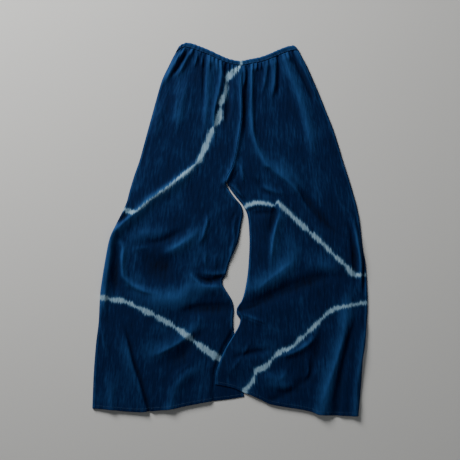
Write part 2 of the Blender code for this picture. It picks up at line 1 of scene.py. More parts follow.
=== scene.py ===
"""Wide indigo trousers of crinkled cotton, laid flat and face up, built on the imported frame.

Tables and sizes are in millimetres, as on the cloth: +X is the wearer's left, +Y runs up the body.
"""
from collections import namedtuple

import bmesh
import bpy
import numpy as np
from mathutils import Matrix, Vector


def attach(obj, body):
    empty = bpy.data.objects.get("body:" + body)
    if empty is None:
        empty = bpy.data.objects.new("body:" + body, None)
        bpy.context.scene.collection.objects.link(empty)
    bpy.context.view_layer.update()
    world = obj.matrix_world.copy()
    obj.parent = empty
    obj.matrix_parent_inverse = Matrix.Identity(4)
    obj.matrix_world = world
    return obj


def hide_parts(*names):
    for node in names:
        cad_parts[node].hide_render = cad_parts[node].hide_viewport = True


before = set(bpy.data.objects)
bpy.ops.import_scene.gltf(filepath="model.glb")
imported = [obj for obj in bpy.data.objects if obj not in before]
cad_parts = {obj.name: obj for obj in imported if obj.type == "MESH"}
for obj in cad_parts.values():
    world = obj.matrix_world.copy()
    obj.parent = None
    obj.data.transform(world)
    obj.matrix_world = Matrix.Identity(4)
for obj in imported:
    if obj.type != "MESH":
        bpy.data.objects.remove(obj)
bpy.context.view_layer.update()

# The camera stands over the middle of the cloth and looks straight down.
# Its picture takes in 1.15 m, which leaves the trousers the share of the picture that they have.
VIEW_WIDTH = 1.15
CAMERA_UP = 2.2
camera_data = bpy.data.cameras.new("camera")
camera_data.sensor_width = 36.0
camera_data.lens = 36.0 * CAMERA_UP / VIEW_WIDTH
camera = bpy.data.objects.new("camera", camera_data)
camera.location = (0.0, -0.002, CAMERA_UP)
bpy.context.scene.collection.objects.link(camera)
bpy.context.scene.camera = camera

# The cut: two fronts and two backs, each from waist seam to hem, meeting on the centre line.
# The waist and hems are rows of (x, y), and the other edges rows of (y, x), read along the laid edge.
MM = 0.001
MIDDLE_Y = -0.4             # the middle of the part's box, which lies over the frame's origin
SEAM_GAP = 0.3              # mm between two panels at a seam
CASING = 12.0               # the casing's width from its top edge to its seam
WAIST_GAP = 0.6             # between the casing and the panels
CROTCH = 118.0              # the y where the centre seam ends and the inseams part
TURNED_RUN = 10.0           # below it the inseams turn down to the surface over this
WAIST = ((-131, 450), (-126, 457), (-118, 462), (-108, 465), (-95, 463), (-75, 456), (-50, 446),
         (-25, 434), (0, 424), (25, 419.5), (50, 424), (75, 429), (100, 438), (125, 449), (145, 456),
         (158, 458), (166, 454))
CENTRE = ((420, 28), (395, 27), (370, 25), (345, 27), (315, 29), (285, 29), (255, 26), (225, 21), (200, 17),
          (175, 12), (155, 6), (142, -1), (130, -8), (118, -10.5))
Leg = namedtuple("Leg", "name side outseam inseam hem")
RIGHT = Leg(
    "right", -1,
    ((460, -124), (452, -128), (432, -141), (412, -151), (372, -170), (332, -182), (292, -193), (252, -204),
     (212, -215), (172, -226), (132, -240), (92, -252), (72, -257), (52, -265), (12, -285), (-28, -302),
     (-68, -310), (-128, -320), (-168, -325), (-228, -328), (-288, -335), (-368, -341), (-447, -344)),
    ((118, -10.5), (112, -8.5), (100, -3), (88, 5), (75, 15), (62, 26), (50, 31.5), (38, 33), (25, 31),
     (10, 28), (-10, 25), (-30, 21), (-50, 13), (-68, 5), (-88, -3), (-105, -8), (-118, -13),
     (-126, -18.5), (-134, -18.5), (-146, -13), (-162, -3), (-176, 5), (-190, 9), (-205, 10),
     (-225, 8), (-245, 9), (-275, 13), (-320, 20), (-370, 28), (-418, 36)),
    ((-344, -447), (-300, -450), (-250, -455), (-225, -456), (-200, -454), (-150, -449), (-100, -439),
     (-50, -430), (0, -424), (36, -418)))
LEFT = Leg(
    "left", 1,
    ((460, 163), (450, 170), (432, 179), (412, 190), (372, 208), (332, 225), (292, 241), (252, 257),
     (212, 270), (172, 282), (132, 295), (92, 307), (52, 318), (12, 325), (-48, 332), (-88, 339),
     (-128, 342), (-188, 344), (-248, 341), (-288, 338), (-328, 332), (-388, 328), (-466, 321)),
    ((118, -10.5), (112, -6), (100, 0.5), (88, 9), (75, 20), (62, 31), (50, 38), (38, 43), (25, 45.5),
     (0, 47.5), (-25, 48.5), (-50, 48), (-75, 46.5), (-100, 44.5), (-125, 41), (-150, 36), (-172, 29),
     (-185, 21), (-195, 16.5), (-205, 16), (-213, 21), (-219, 25.5), (-232, 22.5), (-250, 14),
     (-270, 2.5), (-292, -10), (-315, -20.5), (-335, -28), (-350, -33), (-365, -36), (-387, -37)),
    ((-37, -387), (-10, -392), (10, -397), (33, -407), (50, -413), (75, -424), (100, -436), (125, -441),
     (150, -445), (175, -449), (200, -454), (225, -462), (250, -464), (275, -465), (321, -466)))


def step(x):
    """A smooth rise from 0 to 1."""
    x = np.clip(x, 0, 1)
    return x * x * (3 - 2 * x)


def curve(rows, at):
    """A smooth line through (place, value) rows, straight past its ends: its value and its slope."""
    place, value = np.array(sorted(rows), float).T
    run = np.diff(place)
    grade = np.diff(value) / run
    slope = np.concatenate(([grade[0]], np.zeros(len(grade) - 1), [grade[-1]]))
    same = grade[:-1] * grade[1:] > 0
    slope[1:-1][same] = 2 * grade[:-1][same] * grade[1:][same] / (grade[:-1] + grade[1:])[same]
    inside = np.clip(at, place[0], place[-1])
    i = np.clip(np.searchsorted(place, inside, "right") - 1, 0, len(grade) - 1)
    t = (inside - place[i]) / run[i]
    rise = value[i + 1] - value[i]
    start = slope[i] * run[i]
    end = slope[i + 1] * run[i]
    height = value[i] + start * t + (3 * rise - 2 * start - end) * t**2 + (start + end - 2 * rise) * t**3
    lean = (start + 2 * (3 * rise - 2 * start - end) * t + 3 * (start + end - 2 * rise) * t**2) / run[i]
    return height + (at - inside) * lean, lean


def line(rows, at):
    return curve(rows, at)[0]


def inner_edge(leg, y):
    """The centre seam down to the crotch, and the inseam below it."""
    return np.where(y > CROTCH, line(CENTRE, y), line(leg.inseam, y))


def turned(y):
    """0 where the inner edge is sewn to the other leg, 1 where it is turned down to the surface."""
    return step((CROTCH - y) / TURNED_RUN)


def waist_ends():
    """The x of the casing's two lower corners, where it meets the outseams."""
    left, right = WAIST[0], WAIST[-1]
    return line(RIGHT.outseam, np.array(left[1] - CASING)), line(LEFT.outseam, np.array(right[1] - CASING))


def waist_seam(x):
    """The y of the seam under the casing."""
    low, high = waist_ends()
    share = (x - low) / (high - low)
    return line(WAIST, WAIST[0][0] + share * (WAIST[-1][0] - WAIST[0][0])) - CASING


def panel_place(leg, share, from_outer, from_inner, across, inset=0.0):
    """The x, y of points at a share of the way down a panel, from distances in from its two edges."""
    top = float(waist_seam(np.array(float(CENTRE[0][1])))) - WAIST_GAP
    foot = float(leg.inseam[-1][0])
    low, high = waist_ends()
    outer_top = float(waist_seam(low if leg.side < 0 else high)) - WAIST_GAP
    outer_foot = float(leg.hem[0 if leg.side < 0 else -1][1])
    outer_y = outer_top + share * (outer_foot - outer_top)
    inner_y = top + share * (foot - top)
    outer_x = line(leg.outseam, outer_y) - leg.side * inset
    inner_x = inner_edge(leg, inner_y) + leg.side * (SEAM_GAP / 2 + inset * turned(inner_y))
    span = np.abs(inner_x - outer_x)
    across = (from_outer + across * (span - from_outer - from_inner)) / span
    x = outer_x + across * (inner_x - outer_x)
    y = outer_y + across * (inner_y - outer_y)
    top_outer = line(leg.outseam, outer_top) - leg.side * inset
    top_inner = inner_edge(leg, top) + leg.side * SEAM_GAP / 2
    top_x = top_outer + across * (top_inner - top_outer)
    waist_bow = waist_seam(top_x) - WAIST_GAP - (outer_top + across * (top - outer_top))
    hem_bow = line(leg.hem, x) - (outer_foot + across * (foot - outer_foot))
    return x, y + waist_bow * (1 - share) ** 3 + hem_bow * share**3, inner_y


# Near the hems the left leg's inner corner lies on the right leg, and the two press each other flat.
OVERLAP = 2.0               # how far the corner is lifted
OVERLAP_EDGE = 4.0          # it starts to come down this far past the right leg's edge
OVERLAP_RUN = 40.0          # and reaches the surface over this
OVERLAP_TOP = -222.0        # the y where the left leg starts to climb onto the right one
OVERLAP_CLIMB = 26.0        # and how much further down it is fully on it
UNDER_EDGE = 14.0           # the right leg is pressed from this far outside the left one's edge
UNDER_RUN = 12.0            # and fully pressed this much further in
RIPPLE_SINES = 7
RIPPLE_BEND = 0.9           # how far a second sine bends each of them
RIPPLE_SUM = 3.2            # brings their sum to about -1 to 1


def crossed(leg, x, y):
    """0 to 1: how much a leg lies on the other one, or under it."""
    if leg.side < 0:
        over = (x - line(LEFT.inseam, y) + UNDER_EDGE) / UNDER_RUN
    else:
        over = (line(RIGHT.inseam, y) + OVERLAP_EDGE + OVERLAP_RUN - x) / OVERLAP_RUN
    return step(over) * step((OVERLAP_TOP - y) / OVERLAP_CLIMB)


def lift(leg, x, y):
    """How far a leg is held up by the leg under it."""
    return OVERLAP * crossed(leg, x, y) * (leg.side > 0)


def ripple(x, y, seed, across, along):
    """Smooth uneven waves between -1 and 1, so long across and along the cloth, made of a few sines."""
    rng = np.random.default_rng(seed)
    total = np.zeros(x.shape)
    for _ in range(RIPPLE_SINES):
        kx = 2 * np.pi / across * rng.uniform(0.6, 1.5) * rng.choice((-1, 1))
        ky = 2 * np.pi / along * rng.uniform(-1.4, 1.4)
        straight = kx * x + ky * y + rng.uniform(0, 6.28)
        total += np.sin(straight + RIPPLE_BEND * np.sin(ky * 0.7 * y + rng.uniform(0, 6.28)))
    return total / RIPPLE_SUM


# Indigo-dyed crinkled cotton: a light plain weave whose hard-twisted weft draws it into fine lengthwise
# crinkles, darker in their furrows and paler on their ridges. The colour also holds painted light from the
# crest attribute.
def colour(code):
    """An sRGB hex colour as linear numbers."""
    parts = [int(code[i:i + 2], 16) / 255 for i in (1, 3, 5)]
    return tuple(c / 12.92 if c <= 0.04045 else ((c + 0.055) / 1.055) ** 2.4 for c in parts) + (1.0,)


def add(tree, kind, settings=None, **links):
    """Adds a node, sets its properties and values, and links sockets by name or _number."""
    node = tree.nodes.new(kind)
    for name, value in (settings or {}).items():
        if name in node.inputs:
            node.inputs[name].default_value = value
        else:
            setattr(node, name, value)
    for name, source in links.items():
        key = int(name[1:]) if name[0] == "_" else name.replace("_", " ")
        if isinstance(source, (int, float, tuple)):
            node.inputs[key].default_value = source
        else:
            tree.links.new(source, node.inputs[key])
    return node


CRINKLE = 4.0               # mm from one fine crinkle to the next
STREAK = 8.0                # mm across a slub streak
BLOTCH = 70.0               # mm across an uneven patch of dye


def crinkled_cotton(name, furrow, ground, ridge, resist):
    """Indigo crinkled cotton. resist says whether the stitched-resist lines run over the piece."""
    material = bpy.data.materials.new(name)
    material.use_nodes = True
    tree = material.node_tree
    shader = tree.nodes["Principled BSDF"]
    cloth = add(tree, "ShaderNodeUVMap", {"uv_map": "cloth"}).outputs["UV"]

    def waves(across, along, detail, seed):
        """Noise in the cloth's own directions, so many mm across the warp and along it."""
        vector = add(tree, "ShaderNodeMapping", Vector=cloth,
                     Scale=(1000.0 / across, 1000.0 / along, 1.0), Location=(seed * 3.1, seed * 1.7, 0.0))
        noise = add(tree, "ShaderNodeTexNoise", {"noise_dimensions": "2D"}, Vector=vector.outputs["Vector"],
                    Scale=1.0, Detail=detail, Roughness=0.55)
        return noise.outputs["Fac"]

    crinkle = waves(CRINKLE, 22.0, 2.0, 1)
    streak = waves(STREAK, 80.0, 2.0, 2)
    blotch = waves(BLOTCH, 90.0, 3.0, 3)
    # The crest attribute is painted light: fold crests painted paler and hollows darker, and rims painted as
    # highlights. Edges and seam ridges are paler, part wear and part painted highlight.
    crest = add(tree, "ShaderNodeAttribute", {"attribute_name": "crest"}).outputs["Fac"]
    tone = crest
    for noise, share in ((crinkle, 0.36), (streak, 0.25), (blotch, 0.45)):
        tone = add(tree, "ShaderNodeMath", {"operation": "MULTIPLY_ADD"},
                   _0=noise, _1=share, _2=tone).outputs["Value"]
    tone = add(tree, "ShaderNodeMath", {"operation": "ADD"}, _0=tone, _1=-0.03).outputs["Value"]
    ramp = add(tree, "ShaderNodeValToRGB", Fac=tone)
    ramp.color_ramp.elements[0].position = 0.0
    ramp.color_ramp.elements[0].color = colour(furrow)
    ramp.color_ramp.elements[1].position = 1.0
    ramp.color_ramp.elements[1].color = colour(ridge)
    ramp.color_ramp.elements.new(0.5).color = colour(ground)
    dyed = ramp.outputs["Color"]
    slubs = add(tree, "ShaderNodeMath", {"operation": "MULTIPLY"}, _0=streak, _1=0.6).outputs["Value"]
    height = add(tree, "ShaderNodeMath", {"operation": "MULTIPLY_ADD"},
                 _0=crinkle, _1=0.45, _2=slubs).outputs["Value"]
    if resist:
        where = add(tree, "ShaderNodeSeparateXYZ", Vector=add(
            tree, "ShaderNodeAttribute", {"attribute_name": "resist"}).outputs["Vector"])
        off, along, broad = where.outputs["X"], where.outputs["Y"], where.outputs["Z"]
        jag = waves(3.4, 30.0, 3.0, 5)
        slow = add(tree, "ShaderNodeTexNoise", {"noise_dimensions": "1D"}, W=along, Scale=55.0, Detail=1.5)
        swell = add(tree, "ShaderNodeMath", {"operation": "MULTIPLY_ADD"},
                    _0=slow.outputs["Fac"], _1=0.7, _2=0.6).outputs["Value"]
        half = add(tree, "ShaderNodeMath", {"operation": "MULTIPLY"}, _0=broad, _1=swell).outputs["Value"]
        ragged = add(tree, "ShaderNodeMath", {"operation": "MULTIPLY_ADD"},
                     _0=jag, _1=0.014, _2=-0.007).outputs["Value"]
        moved = add(tree, "ShaderNodeMath", {"operation": "ADD"}, _0=off, _1=ragged).outputs["Value"]
        shifted = add(tree, "ShaderNodeMath", {"operation": "ABSOLUTE"}, _0=moved).outputs["Value"]
        inside = add(tree, "ShaderNodeMath", {"operation": "SUBTRACT"}, _0=half, _1=shifted).outputs["Value"]
        band = add(tree, "ShaderNodeMapRange", {"interpolation_type": "SMOOTHSTEP"}, Value=inside,
                   _1=-0.0026, _2=0.0026).outputs["Result"]
        bleed = add(tree, "ShaderNodeMapRange", {"interpolation_type": "SMOOTHSTEP"}, Value=inside,
                    _1=-0.007, _2=0.0, _4=0.4).outputs["Result"]
        pale = add(tree, "ShaderNodeMix", {"data_type": "RGBA"}, _0=crinkle, _6=colour("#567C99"),
                   _7=colour("#9CB9C8")).outputs[2]
        dyed = add(tree, "ShaderNodeMix", {"data_type": "RGBA"}, _0=bleed, _6=dyed,
                   _7=colour("#2A5F88")).outputs[2]
        dyed = add(tree, "ShaderNodeMix", {"data_type": "RGBA"}, _0=band, _6=dyed, _7=pale).outputs[2]
    bump = add(tree, "ShaderNodeBump", Strength=0.55, Distance=0.0011, Height=height)
    tree.links.new(dyed, shader.inputs["Base Color"])
    tree.links.new(bump.outputs["Normal"], shader.inputs["Normal"])
    shader.inputs["Roughness"].default_value = 0.86
    shader.inputs["Specular IOR Level"].default_value = 0.08
    shader.inputs["Sheen Weight"].default_value = 0.02
    shader.inputs["Sheen Roughness"].default_value = 0.45
    shader.inputs["Sheen Tint"].default_value = colour("#6FA0C8")
    return material


COTTON = crinkled_cotton("indigo_crinkled_cotton", "#010816", "#071B3F", "#1F4474", True)
# Painted shade: the backs, lying under the fronts' edges, get a darker copy of the same cloth.
COTTON_BACK_SHADED = crinkled_cotton("indigo_crinkled_cotton_back_painted_shade", "#010714", "#061838", "#103660", True)

# Stitched-resist lines: before dyeing, a running stitch is pulled up tight along a drawn line, and the
# squeezed cloth stays white. A row is x, y and the half width there, which is small between two stitches.
# The fronts' rows were read off the photo's lines, point by point. The backs' rows are made up.
LINE_APART = 0.37           # metres along the noise from one line's start to the next one's
RESIST_FRONT = {
    "right": (
        ((28, 420, 3), (28, 408, 3), (20, 400, 4), (12, 393, 6), (2, 385, 9), (-6, 377, 7),
         (-9, 365, 0), (-9, 352, 2.5), (-11, 340, 4), (-18, 325, 7), (-23, 313, 6), (-22, 304, 0.5),
         (-24, 292, 6), (-28, 278, 9), (-34, 264, 6), (-40, 254, 0.5), (-46, 243, 8), (-53, 226, 6),
         (-60, 208, 7), (-68, 190, 5), (-76, 172, 6), (-84, 161, 1), (-96, 150, 5), (-112, 138, 5),
         (-130, 122, 3.4), (-150, 106, 2.6), (-200, 71, 1.8), (-232, 44, 2.2), (-244, 42, 5),
         (-256, 46, 5), (-268, 51, 3)),
        ((-330, -170, 6), (-310, -172, 7), (-300, -175, 1.8), (-292, -176, 6), (-268, -178, 6),
         (-256, -182, 1.5), (-246, -187, 6), (-233, -194, 1.8), (-222, -199, 6), (-196, -211, 6),
         (-187, -216, 1), (-178, -221, 6), (-150, -236, 5.5), (-136, -245, 2), (-118, -257, 8),
         (-104, -268, 7), (-91, -279, 1.2), (-80, -287, 6), (-58, -302, 8), (-38, -316, 8),
         (-20, -327, 6), (5, -342, 5))),
    "left": (
        ((33, 53, 3), (42, 59, 4.4), (60, 65, 4.4), (84, 65, 4), (104, 60, 3.4), (112, 60, 0),
         (120, 66, 4), (130, 55, 5), (142, 45, 5.4), (158, 30, 5), (172, 17, 5.5), (186, 3, 6.4),
         (197, -7, 0.8), (207, -14, 5.5), (222, -28, 6), (235, -40, 1.5), (246, -51, 6), (257, -63, 1),
         (268, -73, 5.6), (278, -82, 6), (284, -88, 1), (294, -98, 6), (304, -110, 6.6),
         (313, -115, 3.6), (325, -114, 4.4), (332, -114, -2), (338, -113, 4.4), (346, -113, 3)),
        ((346, -182, 4), (334, -184, 4.4), (322, -186, 3), (300, -190, 4.2), (278, -194, 3.4),
         (262, -198, 5), (245, -209, 5.4), (230, -222, 1.6), (214, -238, 5.4), (200, -252, 4),
         (190, -261, 1.5), (176, -272, 5), (160, -290, 1.6), (146, -297, 5.6), (130, -303, 4),
         (118, -312, 6), (106, -322, 1.5), (96, -336, 4.6), (84, -346, 7), (66, -352, 6),
         (60, -364, 1.4), (57, -380, 6), (46, -392, 4), (38, -402, 6), (33, -414, 4))),
}
RESIST_BACK = {
    "right": (((22, 300, 5), (-20, 276, 2), (-60, 250, 6), (-96, 226, 2.6), (-130, 200, 6), (-180, 168, 3),
               (-236, 128, 5)),
              ((-340, -230, 5), (-290, -244, 6), (-240, -260, 2.4), (-180, -292, 6), (-120, -330, 3),
               (-40, -342, 6), (30, -350, 4))),
    "left": (((30, 90, 4), (76, 66, 5), (120, 40, 2), (170, 16, 6), (220, -10, 3), (280, -36, 6),
              (340, -60, 4)),
             ((345, -250, 4), (290, -268, 6), (230, -290, 2.4), (176, -316, 6), (120, -340, 3), (70, -366, 6),
              (20, -390, 4))),
}


def resist(x, y, lines):
    """Across, along and half width, in metres, of the nearest resist line at each place."""
    best = np.full(x.shape, 1e6)
    found = np.zeros((len(x), 3))
    for number, rows in enumerate(lines):
        length = LINE_APART * number
        for start, end in zip(np.array(rows[:-1], float), np.array(rows[1:], float)):
            d = (end - start)[:2]
            run = np.hypot(*d)
            t = np.clip(((x - start[0]) * d[0] + (y - start[1]) * d[1]) / run**2, 0, 1)
            away = np.hypot(x - start[0] - t * d[0], y - start[1] - t * d[1])
            side = np.sign(d[0] * (y - start[1]) - d[1] * (x - start[0]))
            half = start[2] + t * (end[2] - start[2])
            near = away < best
            best = np.where(near, away, best)
            found[near] = np.stack((away * side * MM, length + t * run * MM, half * MM), 1)[near]
            length += run * MM
    return found


GRAIN_TOP = 450.0           # the y where the cloth is gathered most
GRAIN_RUN = 110.0           # and how far down the gathering fades
CLOTH_THICK = 0.8
GRAIN = {-1: ((450, -50), (-450, -155)), 1: ((450, 95), (-450, 165))}


def grain(side, x, y):
    """Where a place on the laid leg lies in the flat cloth: across the warp, and along it."""
    middle = line(GRAIN[side], y)
    return (x - middle) * (1 + np.exp(-(GRAIN_TOP - y) / GRAIN_RUN)), y


def cloth_sheet(name, leg, columns, rows, place, material, lines):
    """A cloth panel: a grid laid out by place(leg, column, row), given its thickness on the inside."""
    bm = bmesh.new()
    bmesh.ops.create_grid(bm, x_segments=columns, y_segments=rows, size=0.5)
    bm.verts.ensure_lookup_table()
    column = np.array([(v.co.x + 0.5) * columns for v in bm.verts])
    row = np.array([(v.co.y + 0.5) * rows for v in bm.verts])
    x, y, z, crest = place(leg, column, row)
    u, v = grain(leg.side, x, y)
    for vert, point in zip(bm.verts, np.stack((x, y - MIDDLE_Y, z), 1) * MM):
        vert.co = point
    uv = bm.loops.layers.uv.new("cloth")
    for face in bm.faces:
        for loop in face.loops:
            loop[uv].uv = (u[loop.vert.index] * MM, v[loop.vert.index] * MM)
    bm.normal_update()
    if sum(f.normal.z * f.calc_area() for f in bm.faces) < 0:
        bmesh.ops.reverse_faces(bm, faces=bm.faces)
    mesh = bpy.data.meshes.new(name)
    bm.to_mesh(mesh)
    bm.free()
    mesh.shade_smooth()
    dyed = mesh.attributes.new("resist", "FLOAT_VECTOR", "POINT")
    dyed.data.foreach_set("vector", resist(x, y, lines).ravel())
    mesh.attributes.new("crest", "FLOAT", "POINT").data.foreach_set("value", crest)
    mesh.materials.append(material)
    piece = bpy.data.objects.new(name, mesh)
    bpy.context.scene.collection.objects.link(piece)
    solidify = piece.modifiers.new("thickness", "SOLIDIFY")
    solidify.thickness = CLOTH_THICK * MM
    solidify.offset = -1.0
    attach(piece, "root")
    return piece


# Back panels: the two lower halves, cut like the fronts, flat on the surface that the trousers lie on.
# Only their edges show, inside the fronts' turned edges and at the open hems and waist.
BACK_INSET = 2.2            # how far inside the fronts' edges the backs end
BACK_HEM = 1.5              # and how far above the fronts' hems
BACK_HEM_SHARE = 0.1        # the last share of the panel, over which that comes in
BACK_COLUMNS = 60
BACK_ROWS = 150
BACK_WAVE = 0.13
BACK_WAVE_PAINTED_LIGHT = 0.3        # painted light: how much paler a wave's crest is painted, and a trough darker
BACK_TOP = 1.1              # how high the back's upper face lies


def back_place(leg, column, row):
    """The x, y, z of the back cloth's points, and how pale they are, with the waves' light and shade painted
    in.
    """
    share = row / BACK_ROWS
    x, y, _ = panel_place(leg, share, 0.0, 0.0, column / BACK_COLUMNS, BACK_INSET)
    y = y + BACK_HEM * step((share - (1 - BACK_HEM_SHARE)) / BACK_HEM_SHARE)
    wave = BACK_WAVE * ripple(x, y, 11 + leg.side, 16, 90) * (1 - crossed(leg, x, y))
    # The last value is painted light: wave crests painted paler, troughs darker.
    return x, y, lift(leg, x, y) + BACK_TOP + wave, BACK_WAVE_PAINTED_LIGHT * wave


for leg in (RIGHT, LEFT):
    piece = cloth_sheet("back_" + leg.name + "_cloth", leg, BACK_COLUMNS, BACK_ROWS, back_place, COTTON_BACK_SHADED,
                        RESIST_BACK[leg.name])
    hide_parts("back_" + leg.name)

